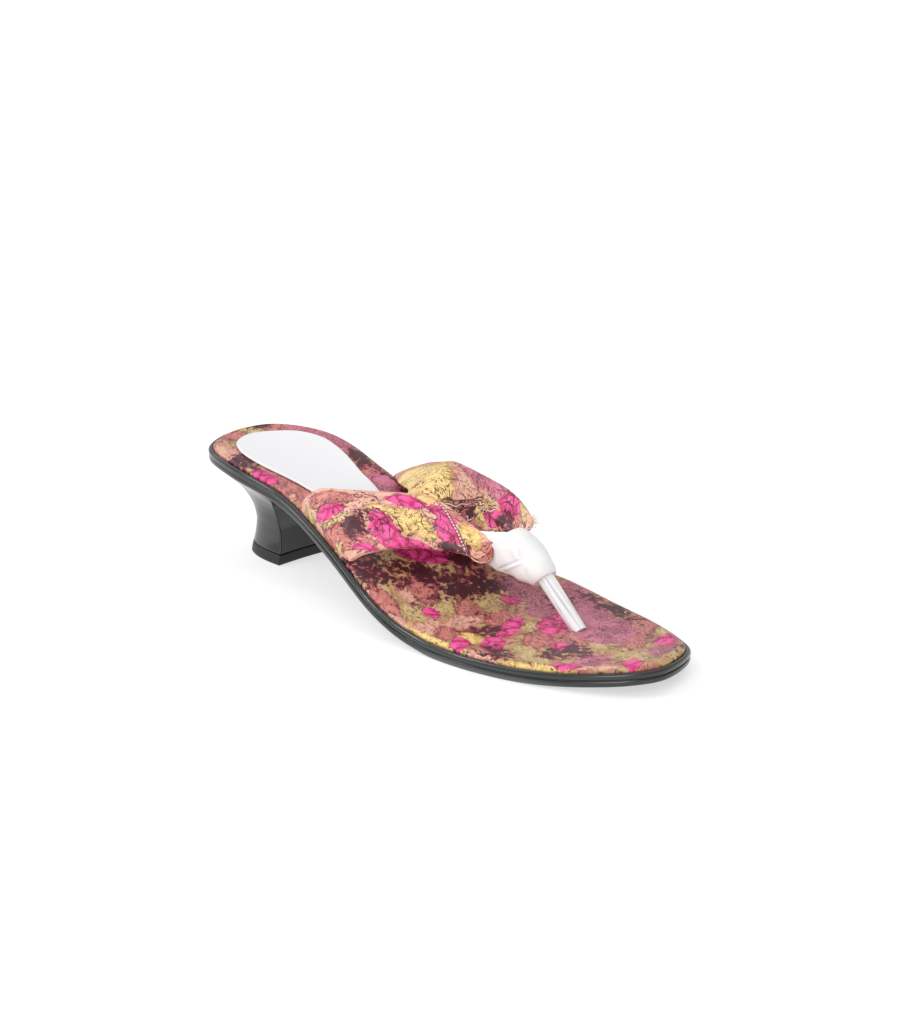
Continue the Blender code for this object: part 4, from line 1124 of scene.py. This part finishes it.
# along the cloth, across it, half-length, half-width, turn in degrees, part of the print
NEAR_PRINT = (
    (40, 15, 90, 60, 0, "Pale"), (7, 8, 7, 4, 0, "Khaki"), (18, 5, 9, 3, 0, "Rose"),
    (13, 12, 7, 2.6, -6, "Magenta"), (13, 23, 10, 3.4, 6, "Rose"), (4, 24, 4, 5, 0, "Rose"),
    (16, 16.5, 8, 2, 0, "Khaki"), (23, 17, 7, 2, -35, "Burgundy"), (8, 29, 8, 2.4, 0, "Khaki"),
    (20, 29, 7, 2.4, -10, "Rose"), (22, 31, 4, 1.4, 0, "Magenta"), (24, 14, 9, 8, 0, "Ink"),
    (10, 20, 12, 12, 0, "Ink"), (21, 22, 6, 3, -60, "Burgundy"), (33, 22, 4.6, 7, 0, "Magenta"),
    (35, 12, 5, 2, 0, "Gold"), (46, 5.5, 6, 3, 0, "Magenta"), (44, 16, 6.4, 5, 0, "Gold"),
    (50, 20, 4, 2, 0, "Gold"), (42, 26, 8, 2, -6, "Magenta"), (31, 4, 5, 2.4, 0, "Burgundy"),
    (56, 3.5, 5, 2.4, 0, "Gold"), (59, 15, 4.4, 4, 0, "Magenta"), (59, 7.5, 4.4, 3, 0, "Magenta"),
    (53, 17, 3, 2, 0, "Khaki"), (62, 20.5, 6, 1.8, -20, "Burgundy"), (44, 14, 12, 8, 0, "Ink"),
    (58, 14, 9, 9, 0, "Ink"), (70, 10, 5, 3.4, -40, "Gold"), (66, 4, 5, 2, 0, "Rose"),
    (75.5, 9, 4, 3, -40, "Pale"), (77, 11, 2.4, 2, -40, "Rose"),
)
# the lip's print: dark rose and burgundy inside the mouth, painted shade in its hollow, and a pale rim
LIP_PRINT = ((9, 1.6, 12, 1.3, 0, "Rose"), (3, 2, 3, 2, 0, "Burgundy"), (9, 4.4, 12, 0.9, 0, "Pale"))
# places along and across the cloth that a drawn line goes through
NEAR_BEADS = (((59.5, 1.5), (61.6, 5.5), (62.6, 11.0), (64.6, 14.8), (67.0, 18.0)),)
NEAR_LINES = (
    ((5.5, 12), (9, 8.6), (15, 8.4), (20.5, 11), (19, 15), (12, 16.2), (7, 15), (5.5, 12)),
    ((27.6, 17), (30, 13.6), (34, 14.2), (36, 12.6), (38.6, 15.4), (39.6, 20)),
    ((31, 14.6), (32.6, 19), (31.6, 24)), ((35.2, 14), (35.4, 19), (34, 25)),
    ((52, 6), (50.6, 9.6), (52.6, 12.4), (55.6, 11.6), (56, 8.4), (53.6, 7), (52, 6)),
    ((50, 12.6), (48.6, 15.6), (50.4, 18.2), (53.4, 17.6), (54, 14.6)),
    ((57, 20), (61, 20.4), (65.4, 21.6)), ((52, 20.6), (56, 22.4), (62, 23.2)),
    ((56.6, 4), (58, 7.4), (57.4, 10.6)), ((57.4, 10.6), (59.6, 12), (59.4, 15.2)),
    ((59.4, 15.2), (61.8, 16.4), (63, 19)),
)
LIP_LINES = (((0, 2.6), (9, 3.0), (18, 2.6)),)
lay_print(near_band.data, places_on_cloth(near_band.data), NEAR_PRINT, NEAR_BEADS, NEAR_LINES)
lay_print(lip.data, places_on_cloth(lip.data), LIP_PRINT, lines=LIP_LINES)
for band in (near_band, lip):
    band.data.materials.append(band_cloth)
    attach(band, "root")
    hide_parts("upper_straps")


# ---------------------------------------------------------------------------------------------------------
# Far band. The same cloth, folded over itself: an upper layer laps the lower one along a slanting fold. Its
# foot is tucked into the slot on the inner side, and its front end is gathered into the wrap.

FAR_BASE = (71.0, 115.0)
# foot, flank, crest, face, inner edge: each by station, side distance and height
FAR_BAND = (
    ((73, 23.3, 37.5), (73.8, 23.3, 38.1), (74.6, 22.8, 38.8), (75.8, 22, 39.2), (77, 20.8, 39.2)),
    ((80, 23.8, 36.6), (80.8, 24.4, 38.6), (82, 23.9, 42.3), (84, 19.5, 43), (85.8, 13.8, 40.5)),
    ((90, 24, 33.8), (91.5, 25.3, 40), (93, 23.4, 46.9), (96, 16, 47), (97, 6.6, 42.4)),
    ((100, 24.8, 30.6), (101.5, 26.8, 39.5), (103, 23, 50.2), (107, 12.5, 49.6), (108.4, -0.4, 44.6)),
    ((109, 26.9, 27.8), (110, 28.2, 39), (111.5, 22.6, 52), (116.5, 10.5, 50.8), (118.8, -9.2, 43.2)),
    ((115.6, 29.4, 25.2), (118, 31, 37.5), (119.2, 24.6, 50.2), (124.5, 13, 48.2), (127.6, -5.2, 41.6)),
    ((123, 32.6, 27.4), (126, 32.6, 38), (127.2, 26.2, 47.6), (132, 18, 42), (133.6, 9.5, 32)),
    ((132, 32.8, 30), (134.6, 32.4, 38.6), (136, 26.6, 45.4), (139.4, 20, 39.2), (141.4, 13.4, 31.8)),
    ((141.5, 30.2, 31.6), (143.4, 29.6, 38.2), (144.4, 25, 43.4), (147.4, 19.2, 38.6), (149.2, 13.6, 33.4)),
    ((150.5, 25.6, 33.2), (151.4, 25.4, 37.6), (152, 22.4, 41.2), (154.8, 17.6, 38.2), (156.4, 12.4, 34.6)),
    ((157, 21, 34.4), (157.8, 21.2, 36.8), (158.4, 19.6, 39.4), (160.6, 16.4, 38.4), (162.4, 12.6, 36.4)),
)
HEM_TURN = ((0.2, -2.6, -0.6), (0.0, -1.2, -0.9))
# points along and across the cloth, width, rise
FAR_CREASES = (
    (((56.4, 36.6), (55.2, 45), (53.8, 54)), 1.2, 0.6),
    (((58.5, 37), (57.5, 45), (56, 51)), 1.5, -0.6),
    (((50, 35), (56, 34.5), (66.6, 31.4)), 1.2, 0.5),
    (((60, 30), (75, 26), (90, 20)), 1.8, -0.7),
    (((58, 26), (75, 20), (92, 14)), 1.8, 0.6),
    (((66, 24), (78, 18), (92, 11)), 1.2, -0.5),
    (((70, 33), (80, 27), (90, 17)), 1.2, 0.5),
    (((28, 24), (38, 34), (47, 45)), 2.6, -0.6),
    (((22, 30), (32, 42), (42, 54)), 2.8, 0.5),
    (((12, 16), (24, 26), (34, 32)), 1.8, -0.4),
)
# the fold's edge, from the crest down to its corner and across to the inner edge
FOLD_EDGE = (
    (45.0, 34.8), (51.0, 35.9), (57.0, 35.2), (62.0, 33.2), (66.4, 31.4),
    (64.6, 35.6), (60.3, 43.3), (53.6, 54.6), (51.6, 59.5),
)
FOLD_STEP = 1.6
FOLD_SUNK = 0.4
FOLD_SOFTNESS = 0.45
FOLD_DIES_OUT = 8.0


def lapped(grid, line, step, reach):
    """Lifts the sheet on one side of a line and sinks it on the other, as where one layer laps another."""
    along, across = cloth_lengths(grid)
    nearest, share, side = from_line(along, across, line)
    fade = np.sin(np.pi * np.clip(share, 0.02, 0.98)) ** 0.5 * np.exp(-nearest / reach)
    over = 1 - ease(side * nearest, -FOLD_SOFTNESS, FOLD_SOFTNESS)
    return grid + grid_normals(grid) * (step * fade * (over - FOLD_SUNK))[..., None]


far_rows = []
for row in FAR_BAND:
    foot = np.array(row[0])
    if foot[0] < FAR_BASE[1] + 1:
        x = min(foot[0] - 0.5, FAR_BASE[1])
        low = TUCK_DEPTH * (float(ease(x, 104, 116)) - 1)
        hem = [tuck(x, 1, low), tuck(x, 1, low + 0.8)]
    else:
        hem = [foot + turn for turn in HEM_TURN]
    far_rows.append(hem + list(row))
far_grid = creased(sheet_grid(far_rows, along=240, across=130), FAR_CREASES)
far_grid = lapped(far_grid, FOLD_EDGE, FOLD_STEP, FOLD_DIES_OUT)
far_band = link_object("far_band", cloth_from("far_band", far_grid, BAND_WALL))
# along the cloth, across it, half-length, half-width, turn in degrees, part of the print
FAR_PRINT = (
    (78, 20, 40, 30, 0, "Pale"), (34, 42, 13, 8, 48, "Gold"), (20, 28, 10, 4, 45, "Gold"),
    (44, 52, 9, 9, 0, "Gold"), (43, 42, 16, 8, 20, "Ink"), (58, 41.5, 10, 4, -61, "Pale"),
    # the burgundy at (64, 43.5) and (60, 52), just past the fold's edge, is print and a painted shadow of the
    # upper layer
    (64, 43.5, 5, 2.6, -60, "Burgundy"), (60, 52, 5, 2, -50, "Burgundy"), (70, 35, 5, 3.4, -50, "Gold"),
    (68, 42, 6, 2.6, -45, "Rose"), (64, 48, 5, 3, -45, "Khaki"), (79, 21, 6.4, 3.6, -35, "Magenta"),
    (73, 26.5, 4, 2.4, -40, "Khaki"), (78, 25, 12, 8, -30, "Ink"), (75, 31, 5, 2.6, -45, "Magenta"),
    # the mauve at (57, 30) and (69, 21) is print and a painted greyish sheen on the crest's front face
    (57, 30, 8, 3, -35, "Mauve"), (69, 21, 11, 4, -30, "Mauve"), (85, 20, 5, 3, -30, "Rose"),
    (88, 15, 4, 3, 0, "Khaki"), (10, 16, 6, 4, 45, "Rose"), (66, 36, 10, 8, -45, "Ink"),
    (82, 26, 5, 3, -40, "Burgundy"),
)
# places along and across the cloth that a drawn line goes through
FAR_PIPING = (
    ((55.6, 53.4), (57.8, 49.8), (59.9, 47.4), (61, 44.2), (63.1, 41.2), (64.2, 38), (66.2, 35), (68, 31.6)),
    ((59, 52.6), (61.6, 49.4), (63.4, 46)), ((65.6, 44), (67.8, 40.6), (68.6, 37)),
    ((69, 35.6), (71.6, 32), (73, 28.4)),
)
FAR_LINES = (
    ((53.6, 54.6), (60.3, 43.3), (66.6, 31.4)),
    ((66.6, 31.4), (62, 33.2), (57, 35.2), (51, 35.9), (45, 34.8)),
    ((53.6, 54.6), (56, 49.6), (59.4, 47.4), (60.6, 43), (63.6, 40.6), (63.8, 36.4), (66.6, 31.4)),
    ((58, 52), (60.4, 47.8), (62.6, 45.6), (63.4, 42.2), (66, 39.4), (66.4, 35.4), (68.4, 32.4)),
    ((67, 34), (69.6, 31), (72, 27.4)), ((68.6, 36.6), (71.4, 33.4), (73.6, 29.8)),
    ((50, 46), (53, 41.6), (56.4, 38.6)), ((74, 24), (77.4, 20.6), (81.6, 18.8)),
)
drawing = {"lines": FAR_LINES, "piping": FAR_PIPING}
lay_print(far_band.data, places_on_cloth(far_band.data), FAR_PRINT, **drawing)
far_band.data.materials.append(band_cloth)
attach(far_band, "root")
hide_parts("upper_straps")


# ---------------------------------------------------------------------------------------------------------
# Frayed end. The far band is cut off raw where it goes into the wrap, and the yarns of its polyester satin
# pull out of the cut in a short fringe, held by the weave behind them.

FRAY_THREADS = 70
FRAY_SPAN = (0.25, 1.0)
FRAY_ROOT = 0.6
FRAY_LENGTH = 3.4
FRAY_RADIUS = 0.09
FRAY_BEND = 3.0
FRAY_WAVE = 2.0
FRAY_LEAN = (0.1, 0.35, 0.25)
FRAY_SPREAD = (0.5, 0.5, 3.1)
FRAY_SHORTEST = 0.35
# Loose polyester yarns: pale, as cloth is inside its print, and matt. Each is drawn about twice as thick as a
# real one, so that it shows.
fray_thread, *_ = new_material("frayed_polyester_threads", Base_Color=colour("#E6CFC0"), Roughness=0.6)


def frayed_threads():
    """Threads pulled from a raw edge: bent tubes on points that store their direction as toward."""
    group = bpy.data.node_groups.new("frayed_threads", "GeometryNodeTree")
    group.interface.new_socket("Geometry", in_out="INPUT", socket_type="NodeSocketGeometry")
    for name in ("Length", "Radius", "Bend"):
        group.interface.new_socket(name, in_out="INPUT", socket_type="NodeSocketFloat")
    group.interface.new_socket("Geometry", in_out="OUTPUT", socket_type="NodeSocketGeometry")
    given = add(group, "NodeGroupInput")
    end = add(group, "ShaderNodeCombineXYZ", Z=given.outputs["Length"])
    line = add(group, "GeometryNodeCurvePrimitiveLine", End=end)
    line = add(group, "GeometryNodeResampleCurve", Curve=line, Count=7)
    wave = add(group, "ShaderNodeTexNoise", Scale=1 / (FRAY_WAVE * MM), Detail=1.0).outputs["Color"]
    wave = add(group, VECTORS, MINUS, wave, (0.5, 0.5, 0.5))
    share = add(group, "GeometryNodeSplineParameter").outputs["Factor"]
    sway = add(group, MATHS, TIMES, share, given.outputs["Bend"])
    wave = add(group, VECTORS, {"operation": "SCALE"}, wave, Scale=sway)
    line = add(group, "GeometryNodeSetPosition", Geometry=line, Offset=wave)
    wire = add(group, "GeometryNodeCurvePrimitiveCircle", Resolution=5, Radius=given.outputs["Radius"])
    tube = add(group, "GeometryNodeCurveToMesh", Curve=line, Profile_Curve=wire, Fill_Caps=True)
    toward = add(group, "GeometryNodeInputNamedAttribute", {"data_type": "FLOAT_VECTOR"}, Name="toward")
    aligned = add(group, "FunctionNodeAlignRotationToVector", {"axis": "Z"}, Vector=toward)
    least, most = tuple(-part for part in FRAY_SPREAD), FRAY_SPREAD
    spread = add(group, "FunctionNodeRandomValue", {"data_type": "FLOAT_VECTOR"}, Min=least, Max=most, Seed=4)
    spread = add(group, "FunctionNodeEulerToRotation", Euler=spread)
    turned = add(group, "FunctionNodeRotateRotation", {"rotation_space": "LOCAL"}, aligned, spread)
    size = add(group, "FunctionNodeRandomValue", {"data_type": "FLOAT"}, Min=FRAY_SHORTEST, Max=1.0, Seed=5)
    grown = {"Points": given, "Instance": tube, "Rotation": turned, "Scale": size}
    fringe = add(group, "GeometryNodeInstanceOnPoints", **grown)
    real = add(group, "GeometryNodeRealizeInstances", Geometry=fringe)
    finished = add(group, "GeometryNodeSetMaterial", Geometry=real, Material=fray_thread)
    add(group, "NodeGroupOutput", Geometry=finished)
    return group


raw_edge = evenly(far_grid[-1], FRAY_THREADS)
raw_edge = raw_edge[int(FRAY_THREADS * FRAY_SPAN[0]) : int(FRAY_THREADS * FRAY_SPAN[1])]
pulled = far_grid[-1].mean(axis=0) - far_grid[-8].mean(axis=0)
pulled = pulled / np.linalg.norm(pulled) + np.array(FRAY_LEAN)
fray_mesh = bpy.data.meshes.new("frayed_end")
fray_mesh.from_pydata([tuple(p) for p in in_metres(raw_edge - pulled * FRAY_ROOT)], [], [])
stored = fray_mesh.attributes.new("toward", "FLOAT_VECTOR", "POINT")
stored.data.foreach_set("vector", np.tile(pulled, (len(raw_edge), 1)).astype(np.float32).ravel())
fray = link_object("frayed_end", fray_mesh)
threads = fray.modifiers.new("threads", "NODES")
threads.node_group = frayed_threads()
inputs = [item for item in threads.node_group.interface.items_tree if item.in_out == "INPUT"]
sockets = {item.name: item.identifier for item in inputs}
for name, size in (("Length", FRAY_LENGTH), ("Radius", FRAY_RADIUS), ("Bend", FRAY_BEND)):
    threads[sockets[name]] = size * MM
applied(fray)
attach(fray, "root")
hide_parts("upper_straps")


# ---------------------------------------------------------------------------------------------------------
# Gathered middle. The same printed satin: the ends of both bands are bunched into a soft roll, which the wrap
# holds together.

# centre, radius
GATHER = (
    ((147.5, 3.2, 28.2), 1.5),
    ((152.4, 5.4, 27.4), 2.1),
    ((157.5, 8.6, 29.4), 3.4),
    ((161.5, 12.4, 31.4), 3.2),
    ((161.4, 15.4, 33.4), 2.6),
)
GATHER_STEPS = 40
PUCKERS = 9
PUCKER_DEPTH = 0.06
middles = spline([centre for centre, radius in GATHER], GATHER_STEPS)
shares = np.linspace(0, 1, GATHER_STEPS)
radii = np.interp(shares, np.linspace(0, 1, len(GATHER)), [radius for centre, radius in GATHER])
turn = np.linspace(0, 2 * np.pi, 48, endpoint=False)[:, None]
rings = []
for k, (middle, radius) in enumerate(zip(middles, radii)):
    ahead = middles[min(k + 1, GATHER_STEPS - 1)] - middles[max(k - 1, 0)]
    ahead /= np.linalg.norm(ahead)
    side = np.cross(ahead, (0, 0, 1.0))
    side /= np.linalg.norm(side)
    over = np.cross(side, ahead)
    pucker = radius * (1 + PUCKER_DEPTH * np.sin(PUCKERS * turn + 0.4 * k))
    rings.append(middle + (side * np.cos(turn) + over * np.sin(turn)) * pucker)
gather = link_object("gathered_middle", stack("gathered_middle", rings, sharp=80.0))
lay_print(gather.data, mesh_points(gather.data)[:, :2], ())
gather.data.materials.append(band_cloth)
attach(gather, "root")
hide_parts("upper_straps")


# ---------------------------------------------------------------------------------------------------------
# Knot. A ribbon of white polyester satin, wound round the gathered bands and down to the top of the post, and
# stitched behind. The bands' bunched ends show in its mouth.

# centre, half-width, half-height, pitch in degrees, from the post up and back to the mouth
WRAP = (
    ((176.9, 7.8, 21.4), 5.0, 5.0, 46.0),
    ((175.2, 7.8, 22.6), 6.1, 6.2, 46.0),
    ((172.2, 7.9, 24.0), 7.0, 7.7, 45.0),
    ((168.0, 8.2, 25.7), 7.8, 8.8, 45.0),
    ((161.8, 8.6, 27.3), 8.4, 10.2, 45.0),
    ((156.8, 9.1, 28.5), 8.3, 10.7, 45.0),
    ((152.8, 9.4, 29.4), 7.9, 10.3, 45.0),
)
# share of the way up to the mouth and turn in degrees, start and end; width in mm, rise in mm
WRAP_FOLDS = (
    ((0.63, 222), (0.44, 150), 1.2, -0.95),
    ((0.56, 224), (0.37, 152), 1.2, 0.6),
    ((0.68, 126), (0.30, 148), 1.1, -1.0),
    ((0.74, 140), (0.40, 160), 1.2, 0.4),
    ((0.96, 152), (0.58, 112), 2.0, -0.7),
    ((0.30, 262), (0.86, 222), 1.3, -1.1),
    ((0.36, 250), (0.90, 205), 1.2, 0.6),
    ((0.20, 245), (0.62, 205), 1.1, -0.9),
    ((0.10, 60), (0.80, 42), 1.0, -0.6),
    ((0.05, 200), (0.45, 150), 1.2, -0.35),
    ((0.45, 170), (0.98, 140), 1.6, -0.4),
    ((0.10, 330), (0.90, 345), 1.3, -0.6),
    ((0.15, 20), (0.85, 5), 1.2, -0.5),
    ((0.35, 300), (0.95, 285), 1.2, -0.6),
)
# shares of the lowest ring's size, which round the wrap's end at the post
POST_END = (0.75, 0.93)
# share of the mouth's size, depth in mm
MOUTH_LIP = ((0.975, -0.35), (0.93, -0.5), (0.885, -0.25), (0.86, 0.5), (0.84, 3.0), (0.8, 6.0))
BUNCH = (
    (0.70, 5.6), (0.82, 4.6), (0.83, 2.2), (0.78, 1.0),
    (0.62, 0.5), (0.42, 0.3), (0.2, 0.25), (0.05, 0.3),
)
MOUTH_PITCH = math.radians(45)
WRAP_LEVELS = 90
WRAP_FACES = 120
wrap_line = spline([(*centre, wide, high, pitch) for centre, wide, high, pitch in WRAP], WRAP_LEVELS)
turn = np.linspace(0, 2 * np.pi, WRAP_FACES, endpoint=False)


def wrap_ring(row, shrink=1.0):
    """An oval ring of the wrap, by its centre, half-width, half-height and pitch in degrees."""
    x, y, z, wide, high, pitch = row
    lean = math.radians(pitch)
    over = np.array((math.sin(lean), 0, math.cos(lean)))
    ring = np.outer(np.cos(turn) * wide * shrink, (0, 1.0, 0)) + np.outer(np.sin(turn) * high * shrink, over)
    return np.array((x, y, z)) + ring


def lobe(degrees, sharpness):
    """1 on one side of the wrap and 0 on the other, the narrower the sharper it is."""
    return np.maximum(np.cos(turn - math.radians(degrees)), 0) ** sharpness


def pressed(share, reach):
    """How far the folds raise a ring's points, at a share of the way up to the mouth."""
    rise = np.zeros(len(turn))
    for (from_share, from_turn), (to_share, to_turn), width, height in WRAP_FOLDS:
        along = (share - from_share) / (to_share - from_share)
        if 0 < along < 1:
            away = np.degrees(turn) - (from_turn + (to_turn - from_turn) * along)
            gap = np.radians((away + 180) % 360 - 180) * reach
            rise += height * math.sin(math.pi * along) * np.exp(-((gap / width) ** 2))
    return rise


def wrap_shape(rings):
    """Squares the wrap's shoulder, slims it towards the post and presses the folds in."""
    top, corner, belly, right = lobe(105, 2), lobe(138, 5), lobe(228, 4), lobe(25, 6)
    shaped = []
    for level, ring in enumerate(rings):
        share = level / (len(rings) - 1)
        middle = ring.mean(axis=0)
        arm = ring - middle
        reach = np.linalg.norm(arm, axis=1)
        scale = 1 + 0.16 * (top + corner) * ease(share, 0.45, 0.95)
        scale += belly * (0.12 * ease(share, 0.3, 0.8) + 0.1 * bump(share, 0.28, 0.26))
        scale += 0.10 * right * bump(share, 0.62, 0.4)
        scale -= 0.03 * ease(share, 0.02, 0.15) * (1 - ease(share, 0.35, 0.6))
        shaped.append(middle + arm * (scale + pressed(share, reach) / reach)[:, None])
    return shaped


wrap_rings = [wrap_ring(wrap_line[0], share) for share in POST_END]
wrap_rings += wrap_shape([wrap_ring(row) for row in wrap_line])
mouth = wrap_rings[-1]
mouth_middle = mouth.mean(axis=0)
inwards = np.array((math.cos(MOUTH_PITCH), 0, -math.sin(MOUTH_PITCH)))
for share, depth in MOUTH_LIP:
    wrap_rings.append(mouth_middle + (mouth - mouth_middle) * share + inwards * depth)
wrap = link_object("satin_wrap", stack("satin_wrap", wrap_rings, sharp=80.0))
bunch_rings = []
for share, depth in BUNCH:
    pucker = 1 + 0.05 * np.sin(11 * turn + 1.5 * np.sin(2 * turn)) * (0.3 + share)
    ring = mouth_middle + (mouth - mouth_middle) * (share * pucker)[:, None] + inwards * depth
    hollows = 0.45 * np.sin(7 * turn + 0.8) * min(share, 0.62)
    bunch_rings.append(ring + np.outer(hollows, inwards) * (depth < 2))
bunch = link_object("bunched_ends", stack("bunched_ends", bunch_rings, sharp=80.0))
BUNCH_PRINT = ((10, 30, 9, 4, 60, "Pale"), (12, 26, 6, 3, 0, "Magenta"))
lay_print(bunch.data, mesh_points(bunch.data)[:, 1:], BUNCH_PRINT)
bunch.data.materials.append(printed)
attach(bunch, "root")
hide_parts("upper_straps")
# White satin ribbon: a broad soft gloss, and a faint pale sheen where it turns away.
white_satin, *_ = new_material(
    "white_satin",
    Base_Color=colour("#E7E6E6"),
    Roughness=0.45,
    Sheen_Weight=0.35,
    Sheen_Roughness=0.4,
)
wrap.data.materials.append(white_satin)
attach(wrap, "root")
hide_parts("knot_wrap")


# ---------------------------------------------------------------------------------------------------------
# Toe post. A tube of clear soft vinyl slipped over a white cotton cord. The wrap holds its top, and it goes
# down through a hole in the footbed into the sole.

POST_FOOT = np.array((195.0, 6.8, 6.6))
POST_TOP = np.array((177.8, 7.8, 21.2))
POST_IN_WRAP = 4.0
POST_IN_BED = 2.2
POST_LEVELS = 24
# radius at the foot, radius at the top
SLEEVE_RADII = (2.9, 3.4)
CORE_RADII = (1.8, 2.2)
SLEEVE_WALL = 0.75
STREAK_LENGTH = 0.03
STREAK_WIDTH = 0.0007
post_line = (POST_TOP - POST_FOOT) / np.linalg.norm(POST_TOP - POST_FOOT)
post_start = POST_FOOT - post_line * POST_IN_BED
post_end = POST_TOP + post_line * POST_IN_WRAP
post_over = np.cross(post_line, (0, 1.0, 0))
post_over /= np.linalg.norm(post_over)
post_side = np.cross(post_over, post_line)
around = np.linspace(0, 2 * np.pi, 96, endpoint=False)


def post_ring(share, radii, inset=0.0):
    """A ring round the post, at a share of the way from its foot to its top."""
    middle = post_start + (post_end - post_start) * share
    reach = radii[0] + (radii[1] - radii[0]) * share - inset
    return middle + np.outer(np.cos(around) * reach, post_side) + np.outer(np.sin(around) * reach, post_over)


shares = np.linspace(0, 1, POST_LEVELS)
sleeve_rings = [post_ring(share, SLEEVE_RADII) for share in shares]
sleeve_rings += [post_ring(share, SLEEVE_RADII, SLEEVE_WALL) for share in shares[::-1]]
count = len(around)
sleeve_faces = []
for layer in range(len(sleeve_rings)):
    a, b = layer * count, ((layer + 1) % len(sleeve_rings)) * count
    sleeve_faces += [(a + i, a + (i + 1) % count, b + (i + 1) % count, b + i) for i in range(count)]
sleeve = link_object("clear_tube", mesh_from("clear_tube", np.vstack(sleeve_rings), sleeve_faces))
# Extruded clear vinyl: glossy, a little milky, with faint grey streaks that run the way it was drawn.
clear, tree, shader = new_material("clear_vinyl", Roughness=0.12, IOR=1.45, Transmission_Weight=0.2)
place = add(tree, "ShaderNodeTexCoord").outputs["Object"]
drawn_out = add(
    tree,
    "ShaderNodeMapping",
    {"vector_type": "TEXTURE"},
    place,
    Rotation=(0, math.atan2(post_line[2], -post_line[0]), 0),
    Scale=(STREAK_LENGTH, STREAK_WIDTH, STREAK_WIDTH),
)
streaks = add(tree, "ShaderNodeTexNoise", None, drawn_out, Scale=1.0, Detail=2.0)
streaks = add(tree, STEP, SMOOTH, streaks, 0.52, 0.7)
tone = add(tree, MIX, COLOURS, streaks, colour("#FFFFFF"), colour("#CFD2D9"))
tree.links.new(tone.outputs[2], shader.inputs["Base Color"])
sleeve.data.materials.append(clear)
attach(sleeve, "root")
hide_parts("toe_post_sleeve")

core_rings = [post_ring(share, CORE_RADII) for share in shares]
core = link_object("white_cord_core", stack("white_cord_core", core_rings))
# Braided cotton cord: plain matt white behind the vinyl.
cord, *_ = new_material("white_cotton_cord", Base_Color=colour("#F2F2F2"), Roughness=0.6)
core.data.materials.append(cord)
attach(core, "root")
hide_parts("toe_post_core")
